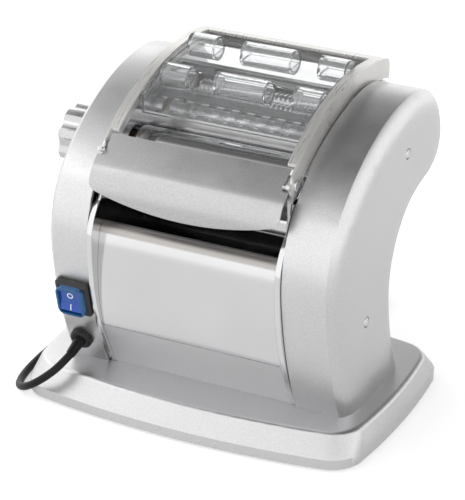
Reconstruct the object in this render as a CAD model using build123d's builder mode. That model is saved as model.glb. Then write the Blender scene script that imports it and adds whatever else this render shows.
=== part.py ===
"""Electric pasta maker: two side plates carry a pair of smooth rollers and two pairs of cutters,
driven by a gearmotor and a spur gear train in the right housing.

Frame: +X to the user's right, -Y to the front, +Z up, millimetres.
Origin: centre of the footprint, on the surface that the rubber feet stand on.
"""
from build123d import *
import os
from math import asin, cos, degrees, hypot, pi, radians, sin

os.makedirs("parts", exist_ok=True)

# ---------------------------------------------------------------- driving dimensions
# base casting
BASE_HALF_LENGTH = 138.1      # at the corners, before the sides bow out
BASE_SIDE_BOW = 6.7
BASE_HALF_DEPTH = 88.2
BASE_FRONT_BOW = 13.6
BASE_CORNER = 26.0
BASE_WALL = 2.5
BASE_BOTTOM = 2.5             # height of the rim above the table
BASE_TOP = 26.6
BASE_RIM_HEIGHT = 8.0         # upright part of the rim, below the rounded shoulder
SHOULDER_SIDE = 5.0           # how far the shoulder leans in at the sides
SHOULDER_FRONT = 12.5         # and at the front and back
SHOULDER_ROUND = 4.5
FLOOR_PLATE = 1.5
FOOT_RADIUS = 11.0
FOOT_X = 112.0
FOOT_Y = 66.0

# side plates
PLATE_INNER = 75.65           # distance from the middle to each plate's inner face
PLATE = 4.5
FRONT_ARC_Y = 115.1           # centre and radius of the plates' front edge
FRONT_ARC_Z = 136.7
FRONT_ARC_R = 200.7
GUARD_Y = 58.8                # centre of the arched top
GUARD_Z = 56.0
GUARD_R = 200.0

# housings
HOUSING_GAP = 0.3
HOUSING_WALL = 3.0
DOME_STEPS = ((116.0, 0.0), (119.6, 3.5), (122.4, 9.5), (124.0, 20.0))    # (x, inset) of the cap's border

HOUSING_OUTER = DOME_STEPS[-1][0]
LEFT_SHORTER = 6.0            # the left housing holds no gear train and reaches less far out

# rollers and cutters
ROLLER_HALF = 72.5
SMOOTH_RADIUS = 16.5
GAP_OPEN = 2.2                # widest sheet, knob at its first step
SHEET_STEP_TRAVEL = 2.0       # closing travel of the front roller
NIP_TILT = 29.8               # degrees, line of centres of the smooth pair
SMOOTH_FRONT_Y = -41.2
SMOOTH_FRONT_Z = 175.2
SMOOTH_JOURNAL = 6.0
CUTTER_RADIUS = 10.0
CUTTER_CORE = 7.7
CUTTER_DISTANCE = 18.0
CUTTER_JOURNAL = 3.5
CUTTER_TILT = 2.5             # degrees, line of the four cutter centres
WIDE_STRIP = 6.5
FINE_PITCH_RADIUS = 8.85
WIDE_TO_FINE = 28.0           # wide rear cutter to fine front cutter
RUNNING = 0.05                # radial running clearance of every journal
BUSH_WALL = 2.5
FLANGE = 1.1

# gears
DRIVE_MODULE = 2.0
SYNC_MODULE = 1.8
DRIVE_TEETH = 24              # smooth rear roller to wide cutter
WIDE_TEETH = 12
FINAL_TEETH = 26              # smooth rear roller from the reduction gear
PINION_TEETH = 10
REDUCTION_TEETH = 26
TRANSFER_TEETH = 14
SYNC_TEETH = 10
SMOOTH_SYNC_TEETH = 12
DRIVE_ANGLE = 12.7            # degrees, smooth rear roller to wide front cutter
REDUCTION_ANGLE = -80.0
MOTOR_ANGLE = -95.0
GEAR_WIDTH = 5.0
LAYER_1 = 88.0                # inner faces of the four gear layers
LAYER_2 = 96.0
LAYER_3 = 103.0
LAYER_4 = 109.0
MOTOR_GEAR_WIDTH = 4.5
SYNC_LAYER = 82.0

# roller adjuster
KNOB_Y = 4.0
KNOB_Z = 184.0
KNOB_GAP = 1.5                # between the left housing and the knob
KNOB_OUTER = 143.0
KNOB_RADIUS = 24.0
KNOB_SHAFT = 4.0
CAM_RADIUS = 7.0
CAM_START = 15.0              # degrees, cam angle at the widest setting
ARM_INNER = 80.5
ARM = 5.0
TIE_Y = -40.0
TIE_Z = 143.5
TIE_RADIUS = 4.0
YOKE_CLEARANCE = 0.3

# guard
GUARD_SHEET = 2.0
GUARD_OUTER = 77.7
GUARD_FLANGE = 8.5
GUARD_DEPTH = 15.0
GUARD_PIVOT_Y = -54.7
GUARD_PIVOT_Z = 208.1
GUARD_EAR = 9.0
FRAME_FRONT_Y = -60.7
PIVOT_RADIUS = 2.5
COVER_SHEET = 2.0
HUMP_RADIUS = 10.0
HUMP_CENTRES = ((17.0, 242.5), (62.0, 251.5))    # two rows across the cover, as (y, z)
HUMP_SPANS = ((-67.0, -43.5), (-21.5, 21.5), (43.5, 67.0))

# front sheets
APRON_SHEET = 1.2
APRON_HALF_TOP = 73.2
APRON_HALF_LOW = 78.0

# switch and cord
SWITCH_X = -95.4
SWITCH_Z = 90.0
CORD_RADIUS = 3.1

# ---------------------------------------------------------------- derived places
PLATE_OUTER = PLATE_INNER + PLATE
HOUSING_INNER = PLATE_OUTER + HOUSING_GAP


def along(start, distance, angle):
    """Point at a distance from start, at an angle above the +Y direction, in the YZ plane."""
    return (start[0] + distance * cos(radians(angle)), start[1] + distance * sin(radians(angle)))


SMOOTH_FRONT = (SMOOTH_FRONT_Y, SMOOTH_FRONT_Z)
SMOOTH_REAR = along(SMOOTH_FRONT, 2 * SMOOTH_RADIUS + GAP_OPEN, NIP_TILT)
WIDE_FRONT = along(SMOOTH_REAR, DRIVE_MODULE * (DRIVE_TEETH + WIDE_TEETH) / 2, DRIVE_ANGLE)
WIDE_REAR = along(WIDE_FRONT, CUTTER_DISTANCE, CUTTER_TILT)
FINE_FRONT = along(WIDE_REAR, WIDE_TO_FINE, CUTTER_TILT)
FINE_REAR = along(FINE_FRONT, CUTTER_DISTANCE, CUTTER_TILT)
REDUCTION = along(SMOOTH_REAR, DRIVE_MODULE * (FINAL_TEETH + PINION_TEETH) / 2, REDUCTION_ANGLE)
MOTOR = along(REDUCTION, DRIVE_MODULE * (REDUCTION_TEETH + PINION_TEETH) / 2, MOTOR_ANGLE)
KNOB = (KNOB_Y, KNOB_Z)
TIE = (TIE_Y, TIE_Z)
CAM_THROW = SHEET_STEP_TRAVEL / (2 * cos(radians(CAM_START)))
CAM_CENTRE = along(KNOB, -CAM_THROW, NIP_TILT + CAM_START)

ACROSS = (1, 0, 0)


def side_plane(x):
    """Sketch plane with y to its right and z up, at a distance x from the middle."""
    return Plane.YZ.offset(x)


FINISHED = {}


def save(builder, name):
    """Label a finished piece and keep it until the whole machine is set over its origin."""
    builder.part.label = name
    FINISHED[name] = builder.part


# ---------------------------------------------------------------- base
def base_outline(height, inset_side, inset_front, corner):
    """Outline of the base at a height, with four bowed sides and round corners."""
    x = BASE_HALF_LENGTH - inset_side
    y = BASE_HALF_DEPTH - inset_front
    with BuildSketch(Plane.XY.offset(height)) as outline:
        with BuildLine():
            ThreePointArc((-x, -y), (0, -y - BASE_FRONT_BOW), (x, -y))
            ThreePointArc((x, -y), (x + BASE_SIDE_BOW, 0), (x, y))
            ThreePointArc((x, y), (0, y + BASE_FRONT_BOW), (-x, y))
            ThreePointArc((-x, y), (-x - BASE_SIDE_BOW, 0), (-x, -y))
        make_face()
        fillet(outline.vertices(), corner)
    return outline.sketch


def base_body(wall):
    """Solid of the base's outer shape, shrunk by a wall thickness."""
    rim_top = BASE_BOTTOM + BASE_RIM_HEIGHT
    corner = BASE_CORNER - wall
    with BuildPart() as body:
        add(base_outline(BASE_BOTTOM, wall, wall, corner))
        extrude(amount=BASE_RIM_HEIGHT)
        add(base_outline(rim_top, wall, wall, corner))
        add(base_outline(BASE_TOP - wall, SHOULDER_SIDE + wall, SHOULDER_FRONT + wall, corner))
        loft(ruled=True)
        if wall == 0:
            top = body.faces().sort_by(Axis.Z)[-1]
            fillet(top.edges(), SHOULDER_ROUND)
    return body.part


with BuildPart() as base:
    add(base_body(0))
    add(base_body(BASE_WALL), mode=Mode.SUBTRACT)
save(base, "base")

with BuildPart() as floor_plate:
    add(base_outline(BASE_BOTTOM, BASE_WALL, BASE_WALL, BASE_CORNER - BASE_WALL))
    extrude(amount=FLOOR_PLATE)
save(floor_plate, "floor_plate")

with BuildPart() as feet:
    with BuildSketch():
        with GridLocations(2 * FOOT_X, 2 * FOOT_Y, 2, 2):
            Circle(FOOT_RADIUS)
    extrude(amount=BASE_BOTTOM, taper=-8)
save(feet, "rubber_feet")


# ---------------------------------------------------------------- side profiles
def front_arc_y(z, inset=0.0):
    """Y of the plates' curved front edge at a height."""
    radius = FRONT_ARC_R - inset
    return FRONT_ARC_Y - (radius**2 - (z - FRONT_ARC_Z) ** 2) ** 0.5


def arch_z(y, radius):
    """Height of the arched top at a depth, for a radius about the guard's centre."""
    return GUARD_Z + (radius**2 - (y - GUARD_Y) ** 2) ** 0.5


HOUSING_START = (-50.5, 17.3)
HOUSING_HEADING = 117.4       # degrees above +Y, up the curved front
HOUSING_ARCS = (              # radius and turn of each tangent arc: clockwise ones bulge, the others hollow
    (307.1, -21.5), (94.4, -24.2), (66.7, -24.2), (156.9, -20.2), (180.1, -24.8), (90.6, -24.3),
    (44.9, -63.7), (32.9, -85.0), (134.6, 11.4), (61.1, 73.5), (185.0, 23.5),
)


def kidney(plane, inset):
    """The housing's bean profile on a plane, moved inward everywhere by an inset."""
    start = along(HOUSING_START, inset, HOUSING_HEADING - 90)
    heading = (cos(radians(HOUSING_HEADING)), sin(radians(HOUSING_HEADING)))
    with BuildSketch(plane) as profile:
        with BuildLine():
            point, tangent = start, heading
            for radius, turn in HOUSING_ARCS:
                side = 1 if turn < 0 else -1
                piece = JernArc(point, tangent, radius - side * inset, turn)
                point, tangent = piece @ 1, piece % 1
            Line(point, start)
        make_face()
    return profile.sketch


def above_base():
    """Everything higher than the top of the base, for trimming."""
    with BuildPart() as block:
        with BuildSketch(Plane.XY.offset(BASE_TOP)):
            Rectangle(4 * BASE_HALF_LENGTH, 4 * BASE_HALF_LENGTH)
        extrude(amount=GUARD_Z + GUARD_R)
    return block.part


UPPER_SPACE = above_base()
PLATE_SHOULDER = ((-81.5, 158.4), (-69.6, 172.1))
PLATE_NECK = ((-60.0, 186.0), (-57.5, 193.0))
PLATE_TOP_R = 183.6
GUARD_CORNER = (FRAME_FRONT_Y, arch_z(FRAME_FRONT_Y, GUARD_R - GUARD_DEPTH - 1))
SWING_RADIUS = hypot(GUARD_CORNER[0] - GUARD_PIVOT_Y, GUARD_CORNER[1] - GUARD_PIVOT_Z)
SWING_CLEARANCE = 0.5
REAR_TOP = (106.0, 219.0)
REAR_LOBE = (115.5, 196.0)
REAR_HEEL = (101.5, 171.5)
REAR_UNDERSIDE = (72.0, 163.5)
REAR_WAIST_TOP = (46.0, 149.5)
REAR_WAIST = (25.0, 98.0)
REAR_FOOT = (43.0, BASE_TOP)


def plate_face(x):
    """Side plate outline: curved front edge, neck below the guard, arched top, hollow back."""
    foot = (front_arc_y(BASE_TOP), BASE_TOP)
    top_start = (-49.0, arch_z(-49.0, PLATE_TOP_R))
    top_end = (REAR_TOP[0] - 6, arch_z(REAR_TOP[0] - 6, PLATE_TOP_R))
    middle = (GUARD_Y - 20, arch_z(GUARD_Y - 20, PLATE_TOP_R))
    with BuildSketch(side_plane(x)) as face:
        with BuildLine():
            front = ThreePointArc(foot, (front_arc_y(85), 85), (front_arc_y(141.4), 141.4))
            shoulder = ThreePointArc(front @ 1, *PLATE_SHOULDER)
            neck = Polyline(shoulder @ 1, *PLATE_NECK, top_start)
            ThreePointArc(neck @ 1, middle, top_end)
            Line(top_end, REAR_TOP)
            ThreePointArc(REAR_TOP, REAR_LOBE, REAR_HEEL)
            ThreePointArc(REAR_HEEL, REAR_UNDERSIDE, REAR_WAIST_TOP)
            ThreePointArc(REAR_WAIST_TOP, REAR_WAIST, REAR_FOOT)
            Line(REAR_FOOT, foot)
        make_face()
        with Locations((GUARD_PIVOT_Y, GUARD_PIVOT_Z)):
            Circle(SWING_RADIUS + SWING_CLEARANCE, mode=Mode.SUBTRACT)
    return face.sketch


def disc(x, centre, radius, length):
    """Cylinder along X that starts at x."""
    with BuildPart() as cylinder:
        with BuildSketch(side_plane(x)):
            with Locations(centre):
                Circle(radius)
        extrude(amount=length)
    return cylinder.part


def slotted(x, centre, radius, travel, length):
    """Oval along the closing direction of the front roller, extruded along X."""
    middle = along(centre, travel / 2, NIP_TILT)
    with BuildPart() as oval:
        with BuildSketch(side_plane(x)):
            with Locations(Location((middle[0], middle[1], 0), (0, 0, NIP_TILT))):
                SlotCenterToCenter(travel, 2 * radius)
        extrude(amount=length)
    return oval.part


CUTTER_BUSH = CUTTER_JOURNAL + RUNNING + BUSH_WALL
SMOOTH_BUSH = SMOOTH_JOURNAL + RUNNING + BUSH_WALL
STUD_RADIUS = 4.0
MOTOR_SHAFT = 4.0
ROD_RADIUS = 4.0
TIE_RODS = ((-58.0, 70.0), (12.0, 60.0), (60.0, 178.0), (96.0, 182.0))
CARRIAGE_SLOTS = ((SMOOTH_FRONT, SMOOTH_JOURNAL + 0.6), (TIE, TIE_RADIUS + 0.15))


def side_plate(side):
    """Flat steel plate with the bores and slots of every shaft it carries."""
    start = PLATE_INNER if side > 0 else -PLATE_OUTER
    with BuildPart() as plate:
        add(plate_face(start))
        extrude(amount=PLATE, dir=ACROSS)
        for centre in (WIDE_FRONT, WIDE_REAR, FINE_FRONT, FINE_REAR):
            add(disc(start, centre, CUTTER_BUSH, PLATE), mode=Mode.SUBTRACT)
        add(disc(start, SMOOTH_REAR, SMOOTH_BUSH, PLATE), mode=Mode.SUBTRACT)
        for centre in TIE_RODS:
            add(disc(start, centre, ROD_RADIUS, PLATE), mode=Mode.SUBTRACT)
        for centre, radius in CARRIAGE_SLOTS:
            add(slotted(start, centre, radius, SHEET_STEP_TRAVEL, PLATE), mode=Mode.SUBTRACT)
        if side > 0:
            add(disc(start, REDUCTION, STUD_RADIUS, PLATE), mode=Mode.SUBTRACT)
            add(disc(start, MOTOR, MOTOR_SHAFT + 1, PLATE), mode=Mode.SUBTRACT)
        else:
            add(disc(start, KNOB, KNOB_SHAFT + RUNNING, PLATE), mode=Mode.SUBTRACT)
    return plate


for side, name in ((1, "side_plate_right"), (-1, "side_plate_left")):
    save(side_plate(side), name)

# tie rods between the plates, shouldered against their inner faces
ROD_BODY = 5.0
with BuildPart() as tie_rods:
    for centre in TIE_RODS:
        add(disc(-PLATE_INNER, centre, ROD_BODY, 2 * PLATE_INNER))
        add(disc(-PLATE_OUTER, centre, ROD_RADIUS, 2 * PLATE_OUTER))
save(tie_rods, "tie_rods")


# ---------------------------------------------------------------- housings
SCREW_UPPER = (42.1, 204.5)
SCREW_LOWER = (-27.4, 95.7)
SCREW_HEAD = 3.6
SCREW_SHANK = 1.9
SCREW_RECESS = 4.4
RECESS_DEPTH = 1.2
PILLAR = 4.5
PILLAR_UPPER = (58.0, 223.5)
STRAP = 2.0
STRAP_X = 110.0
CAVITY_STEP = 114.0
CAVITY_INSET = 20.0


def housing_shell(shorter):
    """Bean-shaped drum with a pillowed cap, open towards the right side plate and made shorter by a length."""
    outer = HOUSING_OUTER - shorter
    step = CAVITY_STEP - shorter
    with BuildPart() as shell:
        add(kidney(side_plane(HOUSING_INNER), 0))
        extrude(amount=DOME_STEPS[0][0] - shorter - HOUSING_INNER, dir=ACROSS)
        for x, inset in DOME_STEPS:
            add(kidney(side_plane(x - shorter), inset))
        loft(ruled=True)
        add(kidney(side_plane(HOUSING_INNER), HOUSING_WALL))
        extrude(amount=step - HOUSING_INNER, dir=ACROSS, mode=Mode.SUBTRACT)
        add(kidney(side_plane(step), CAVITY_INSET))
        extrude(amount=outer - HOUSING_WALL - step, dir=ACROSS, mode=Mode.SUBTRACT)
        for centre in (SCREW_UPPER, SCREW_LOWER):
            add(disc(outer - HOUSING_WALL, centre, SCREW_SHANK, HOUSING_WALL), mode=Mode.SUBTRACT)
            add(disc(outer - RECESS_DEPTH, centre, SCREW_RECESS, RECESS_DEPTH), mode=Mode.SUBTRACT)
        add(UPPER_SPACE, mode=Mode.INTERSECT)
    return shell.part


with BuildPart() as housing_right:
    add(housing_shell(0))
save(housing_right, "housing_right")


# switch and cord exits on the front of the left housing
def front_seat(z):
    """Depth of the housing's curved front at a height, and its lean in degrees."""
    radius = HOUSING_ARCS[0][0]
    centre = along(HOUSING_START, radius, HOUSING_HEADING - 90)
    lean = degrees(asin((centre[1] - z) / radius))
    return centre[0] - radius * cos(radians(lean)), lean


SWITCH_Y, SWITCH_TILT = front_seat(SWITCH_Z)
FACE_NORMAL = (0, -cos(radians(SWITCH_TILT)), -sin(radians(SWITCH_TILT)))
SWITCH_PLANE = Plane((SWITCH_X, SWITCH_Y, SWITCH_Z), x_dir=(1, 0, 0), z_dir=FACE_NORMAL)
BEZEL_WIDTH = 29.0
BEZEL_HEIGHT = 30.0
BEZEL_PROUD = 6.0
SWITCH_BODY_WIDTH = 25.0
SWITCH_BODY_HEIGHT = 27.0
SWITCH_BODY_DEPTH = 16.0
SWITCH_HOLE_GAP = 0.2
GLAND_X = -98.0
GLAND_Z = 48.0
GLAND_Y, GLAND_TILT = front_seat(GLAND_Z)
GLAND_NORMAL = (0, -cos(radians(GLAND_TILT)), -sin(radians(GLAND_TILT)))
GLAND_PLANE = Plane((GLAND_X, GLAND_Y, GLAND_Z), x_dir=(1, 0, 0), z_dir=GLAND_NORMAL)
GLAND_NECK = 6.5
GLAND_FLANGE = 9.0
GLAND_THICK = 5.0
KNOB_HOLE = KNOB_SHAFT + 0.6

with BuildPart() as housing_left:
    add(mirror(housing_shell(LEFT_SHORTER), about=Plane.YZ))
    add(disc(LEFT_SHORTER - HOUSING_OUTER - 1, KNOB, KNOB_HOLE, HOUSING_WALL + 2), mode=Mode.SUBTRACT)
    with BuildSketch(SWITCH_PLANE.offset(-SWITCH_BODY_DEPTH)):
        Rectangle(SWITCH_BODY_WIDTH + 2 * SWITCH_HOLE_GAP, SWITCH_BODY_HEIGHT + 2 * SWITCH_HOLE_GAP)
    extrude(amount=2 * SWITCH_BODY_DEPTH, mode=Mode.SUBTRACT)
    with BuildSketch(GLAND_PLANE.offset(-SWITCH_BODY_DEPTH)):
        Circle(GLAND_NECK)
    extrude(amount=2 * SWITCH_BODY_DEPTH, mode=Mode.SUBTRACT)
save(housing_left, "housing_left")


def both_sides(piece):
    """A solid and its mirror image on the other side of the middle plane."""
    with BuildPart() as pair:
        add(piece)
        mirror(about=Plane.YZ)
    return pair.part


def pillars(shorter):
    """Posts that hold a housing to the right plate, the upper one with a strap over the gears."""
    reach = HOUSING_OUTER - shorter - HOUSING_WALL
    strap_x = STRAP_X - shorter
    with BuildPart() as posts:
        add(disc(PLATE_OUTER, SCREW_LOWER, PILLAR, reach - PLATE_OUTER))
        add(disc(PLATE_OUTER, PILLAR_UPPER, PILLAR, strap_x - PLATE_OUTER))
        with BuildSketch(side_plane(strap_x)):
            for centre in (PILLAR_UPPER, SCREW_UPPER):
                with Locations(centre):
                    Circle(PILLAR)
            make_hull()
        extrude(amount=STRAP)
        add(disc(strap_x, SCREW_UPPER, PILLAR, reach - strap_x))
        for centre in (SCREW_UPPER, SCREW_LOWER):
            add(disc(reach - SCREW_LENGTH, centre, SCREW_SHANK, SCREW_LENGTH), mode=Mode.SUBTRACT)
    return posts.part


def screws(shorter):
    """Two round-headed screws sunk in a housing's cap on the right."""
    reach = HOUSING_OUTER - shorter - RECESS_DEPTH
    start = HOUSING_OUTER - shorter - HOUSING_WALL - SCREW_LENGTH
    with BuildPart() as pair:
        for centre in (SCREW_UPPER, SCREW_LOWER):
            add(disc(start, centre, SCREW_SHANK, reach - start))
            add(disc(reach, centre, SCREW_HEAD, SCREW_HEAD_THICK))
        fillet(pair.faces().sort_by(Axis.X)[-2:].edges(), SCREW_HEAD_THICK * 0.6)
    return pair.part


SCREW_LENGTH = 6.0
SCREW_HEAD_THICK = 1.5
with BuildPart() as housing_pillars:
    add(pillars(LEFT_SHORTER))
    mirror(about=Plane.YZ, mode=Mode.REPLACE)
    add(pillars(0))
save(housing_pillars, "housing_pillars")

with BuildPart() as housing_screws:
    add(screws(0))
    add(mirror(screws(LEFT_SHORTER), about=Plane.YZ))
save(housing_screws, "housing_screws")

# ---------------------------------------------------------------- sheets between the plates
PANEL_SHEET = 1.2
SKIRT_LINE = ((-52.0, BASE_TOP), (-70.2, 66.4))
PANEL_BELLY = ((-70.5, 67.0), (-77.0, 105.0), (-73.0, 146.0))
PANEL_ROLL = ((-73.0, 146.0), (-68.5, 151.5), (-61.5, 151.0))
CHUTE = ((-61.5, 151.0), (-20.0, 155.5), (12.0, 169.0))
REAR_LOWER = (REAR_FOOT, REAR_WAIST, REAR_WAIST_TOP)
REAR_UPPER = (REAR_TOP, REAR_LOBE, REAR_HEEL)
SLIDE_TOP = (22.0, 177.0)     # the lower rear panel turns in here, to slide the wide noodles out
FRONT_GUIDE = ((6.5, 202.0), (10.0, 213.0), (14.0, 207.0))
MIDDLE_GUIDE = ((51.0, 210.0), (56.5, 213.0), (62.0, 210.5))
REAR_GUIDE = ((97.5, 211.5), (104.0, 218.0))


def sheet(start_plane, curve, thickness, side, width):
    """Bent sheet: a thickened profile curve extruded along X."""
    with BuildPart() as bent:
        with BuildSketch(start_plane):
            with BuildLine():
                add(curve)
                offset(amount=thickness, side=side)
            make_face()
        extrude(amount=width)
    return bent.part


LEFT_PLANE = side_plane(-PLATE_INNER)
INNER_WIDTH = 2 * PLATE_INNER


def arc(points):
    """Circular profile curve through three points."""
    with BuildLine() as line:
        ThreePointArc(*points)
    return line.line


def bend(points):
    """Profile curve of straight runs."""
    with BuildLine() as line:
        Polyline(*points)
    return line.line


with BuildPart() as front_skirt:
    add(sheet(LEFT_PLANE, bend(SKIRT_LINE), PANEL_SHEET, Side.RIGHT, INNER_WIDTH))
    add(UPPER_SPACE, mode=Mode.INTERSECT)
save(front_skirt, "front_skirt")

with BuildPart() as front_panel:
    with BuildSketch(LEFT_PLANE):
        with BuildLine():
            ThreePointArc(*PANEL_BELLY)
            ThreePointArc(*PANEL_ROLL)
            offset(amount=PANEL_SHEET, side=Side.RIGHT)
        make_face()
    extrude(amount=INNER_WIDTH)
save(front_panel, "front_panel")

with BuildPart() as exit_chute:
    add(sheet(LEFT_PLANE, arc(CHUTE), PANEL_SHEET, Side.RIGHT, INNER_WIDTH))
save(exit_chute, "exit_chute")

with BuildPart() as rear_panel_lower:
    with BuildSketch(LEFT_PLANE):
        with BuildLine():
            ThreePointArc(*REAR_LOWER)
            Line(REAR_WAIST_TOP, SLIDE_TOP)
            offset(amount=PANEL_SHEET, side=Side.LEFT)
        make_face()
    extrude(amount=INNER_WIDTH)
    add(UPPER_SPACE, mode=Mode.INTERSECT)
save(rear_panel_lower, "rear_panel_lower")

with BuildPart() as rear_panel_upper:
    add(sheet(LEFT_PLANE, arc(REAR_UPPER), PANEL_SHEET, Side.RIGHT, INNER_WIDTH))
save(rear_panel_upper, "rear_panel_upper")

with BuildPart() as feed_guides:
    add(sheet(LEFT_PLANE, bend(FRONT_GUIDE), PANEL_SHEET, Side.RIGHT, INNER_WIDTH))
    add(sheet(LEFT_PLANE, bend(MIDDLE_GUIDE), PANEL_SHEET, Side.RIGHT, INNER_WIDTH))
    add(sheet(LEFT_PLANE, bend(REAR_GUIDE), PANEL_SHEET, Side.RIGHT, INNER_WIDTH))
save(feed_guides, "feed_guides")

# ---------------------------------------------------------------- rollers and cutters
RING_WIDTH = 6.2
RIGHT_END_FRONT = 94.0        # shaft ends beyond the gears they carry
RIGHT_END_SMOOTH = 109.0
RIGHT_END_WIDE = 101.5
RIGHT_END_TRANSFER = 108.5
LEFT_END_CUTTERS = 88.0
ROLLER_EDGE = 0.8


def smooth_roller(centre, left_end, right_end):
    """Plain roller with a journal at each end."""
    with BuildPart() as roller:
        add(disc(-ROLLER_HALF, centre, SMOOTH_RADIUS, 2 * ROLLER_HALF))
        rims = roller.edges().filter_by(GeomType.CIRCLE)
        chamfer(rims, ROLLER_EDGE)
        add(disc(-left_end, centre, SMOOTH_JOURNAL, left_end + right_end))
    return roller.part


def ring_cutter(centre, first, count, left_end, right_end):
    """Cutter with a row of broad rings that mesh with the grooves of its partner."""
    with BuildPart() as cutter:
        add(disc(-ROLLER_HALF, centre, CUTTER_CORE, 2 * ROLLER_HALF))
        for k in range(count):
            low = max(first + 2 * WIDE_STRIP * k - RING_WIDTH / 2, -ROLLER_HALF)
            high = min(first + 2 * WIDE_STRIP * k + RING_WIDTH / 2, ROLLER_HALF)
            add(disc(low, centre, CUTTER_RADIUS, high - low))
        add(disc(-left_end, centre, CUTTER_JOURNAL, left_end + right_end))
    return cutter.part


def plain_cutter(centre, left_end, right_end):
    """Fine cutter, drawn at the radius where its narrow rings meet the partner's."""
    with BuildPart() as cutter:
        add(disc(-ROLLER_HALF, centre, FINE_PITCH_RADIUS, 2 * ROLLER_HALF))
        add(disc(-left_end, centre, CUTTER_JOURNAL, left_end + right_end))
    return cutter.part


with BuildPart() as smooth_roller_front:
    add(smooth_roller(SMOOTH_FRONT, ARM_INNER + ARM, RIGHT_END_FRONT))
save(smooth_roller_front, "smooth_roller_front")

with BuildPart() as smooth_roller_rear:
    add(smooth_roller(SMOOTH_REAR, PLATE_OUTER, RIGHT_END_SMOOTH))
save(smooth_roller_rear, "smooth_roller_rear")

with BuildPart() as wide_cutter_front:
    add(ring_cutter(WIDE_FRONT, -10 * WIDE_STRIP, 11, LEFT_END_CUTTERS, RIGHT_END_WIDE))
save(wide_cutter_front, "wide_cutter_front")

with BuildPart() as wide_cutter_rear:
    add(ring_cutter(WIDE_REAR, -11 * WIDE_STRIP, 12, LEFT_END_CUTTERS, RIGHT_END_TRANSFER))
save(wide_cutter_rear, "wide_cutter_rear")

with BuildPart() as fine_cutter_front:
    add(plain_cutter(FINE_FRONT, LEFT_END_CUTTERS, RIGHT_END_TRANSFER))
save(fine_cutter_front, "fine_cutter_front")

with BuildPart() as fine_cutter_rear:
    add(plain_cutter(FINE_REAR, LEFT_END_CUTTERS, PLATE_OUTER))
save(fine_cutter_rear, "fine_cutter_rear")


def bush(x, side, centre, journal, length):
    """Flanged bush whose flange faces the rollers; side is 1 on the right and -1 on the left."""
    with BuildPart() as ring:
        outer = journal + RUNNING + BUSH_WALL
        add(disc(x if side > 0 else -x - length, centre, outer, length))
        add(disc(x - FLANGE if side > 0 else -x, centre, outer + 2, FLANGE))
        add(disc(-200, centre, journal + RUNNING, 400), mode=Mode.SUBTRACT)
    return ring.part


with BuildPart() as roller_bushes:
    for side in (1, -1):
        add(bush(PLATE_INNER, side, SMOOTH_REAR, SMOOTH_JOURNAL, PLATE))
        for centre in (WIDE_FRONT, WIDE_REAR, FINE_FRONT, FINE_REAR):
            add(bush(PLATE_INNER, side, centre, CUTTER_JOURNAL, PLATE))
save(roller_bushes, "roller_bushes")

# combs that strip the noodles from the cutters
COMB_GAP = 0.5
FINGER_WIDTH = 5.2
COMB_BAR = 3.0


def comb(centre, angle, radius, grooves, depth):
    """Bar beside a cutter at an angle, with a finger in each groove down to the core."""
    near = radius + COMB_GAP
    plane = side_plane(-PLATE_INNER)
    with BuildPart() as bar:
        with BuildSketch(plane):
            with Locations(Location((*along(centre, near + COMB_BAR / 2, angle), 0), (0, 0, angle))):
                Rectangle(COMB_BAR, 2 * COMB_BAR)
        extrude(amount=INNER_WIDTH)
        for groove in grooves:
            with BuildSketch(side_plane(groove - FINGER_WIDTH / 2)):
                place = along(centre, near - depth / 2 + COMB_BAR / 4, angle)
                with Locations(Location((*place, 0), (0, 0, angle))):
                    Rectangle(depth + COMB_BAR / 2, COMB_BAR / 2)
            extrude(amount=FINGER_WIDTH)
    return bar.part


RING_DEPTH = CUTTER_RADIUS - CUTTER_CORE
FRONT_GROOVES = [WIDE_STRIP * (2 * k - 9) for k in range(10)]
REAR_GROOVES = [WIDE_STRIP * (2 * k - 10) for k in range(11)]
with BuildPart() as cutter_combs:
    add(comb(WIDE_FRONT, -115, CUTTER_RADIUS, FRONT_GROOVES, RING_DEPTH))
    add(comb(WIDE_REAR, -65, CUTTER_RADIUS, REAR_GROOVES, RING_DEPTH))
    add(comb(FINE_FRONT, -115, FINE_PITCH_RADIUS, (), 0))
    add(comb(FINE_REAR, -65, FINE_PITCH_RADIUS, (), 0))
save(cutter_combs, "cutter_combs")


# ---------------------------------------------------------------- gears
def gear(x, centre, teeth, module, phase, width, bore, tooth=(0.85, 1.1, 0.12, 0.27)):
    """Spur gear: tooth gives addendum and dedendum in modules, half tip and half root in pitches."""
    addendum, dedendum, half_tip, half_root = tooth
    pitch_radius = module * teeth / 2
    step = 360 / teeth
    corners = []
    for k in range(teeth):
        middle = phase + k * step
        for radius, lean in ((pitch_radius - module * dedendum, -half_root),
                             (pitch_radius + module * addendum, -half_tip),
                             (pitch_radius + module * addendum, half_tip),
                             (pitch_radius - module * dedendum, half_root)):
            corners.append(along(centre, radius, middle + lean * step))
    with BuildPart() as wheel:
        with BuildSketch(side_plane(x)):
            with BuildLine():
                Polyline(*corners, close=True)
            make_face()
            with Locations(centre):
                Circle(bore, mode=Mode.SUBTRACT)
        extrude(amount=width)
    return wheel.part


def gap_phase(direction, teeth):
    """Phase of a gear that shows a gap where its driver, seen along direction, shows a tooth."""
    return direction + 180 + 180 / teeth


LONG_TOOTH = (0.76, 0.84, 0.10, 0.20)    # slender, so the rollers stay in step as their gap changes
SMOOTH_SYNC_MODULE = 2 * SMOOTH_RADIUS / SMOOTH_SYNC_TEETH

with BuildPart() as smooth_sync_gear_front:
    add(gear(LAYER_1, SMOOTH_FRONT, SMOOTH_SYNC_TEETH, SMOOTH_SYNC_MODULE, NIP_TILT,
             GEAR_WIDTH, SMOOTH_JOURNAL, LONG_TOOTH))
save(smooth_sync_gear_front, "smooth_sync_gear_front")

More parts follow.
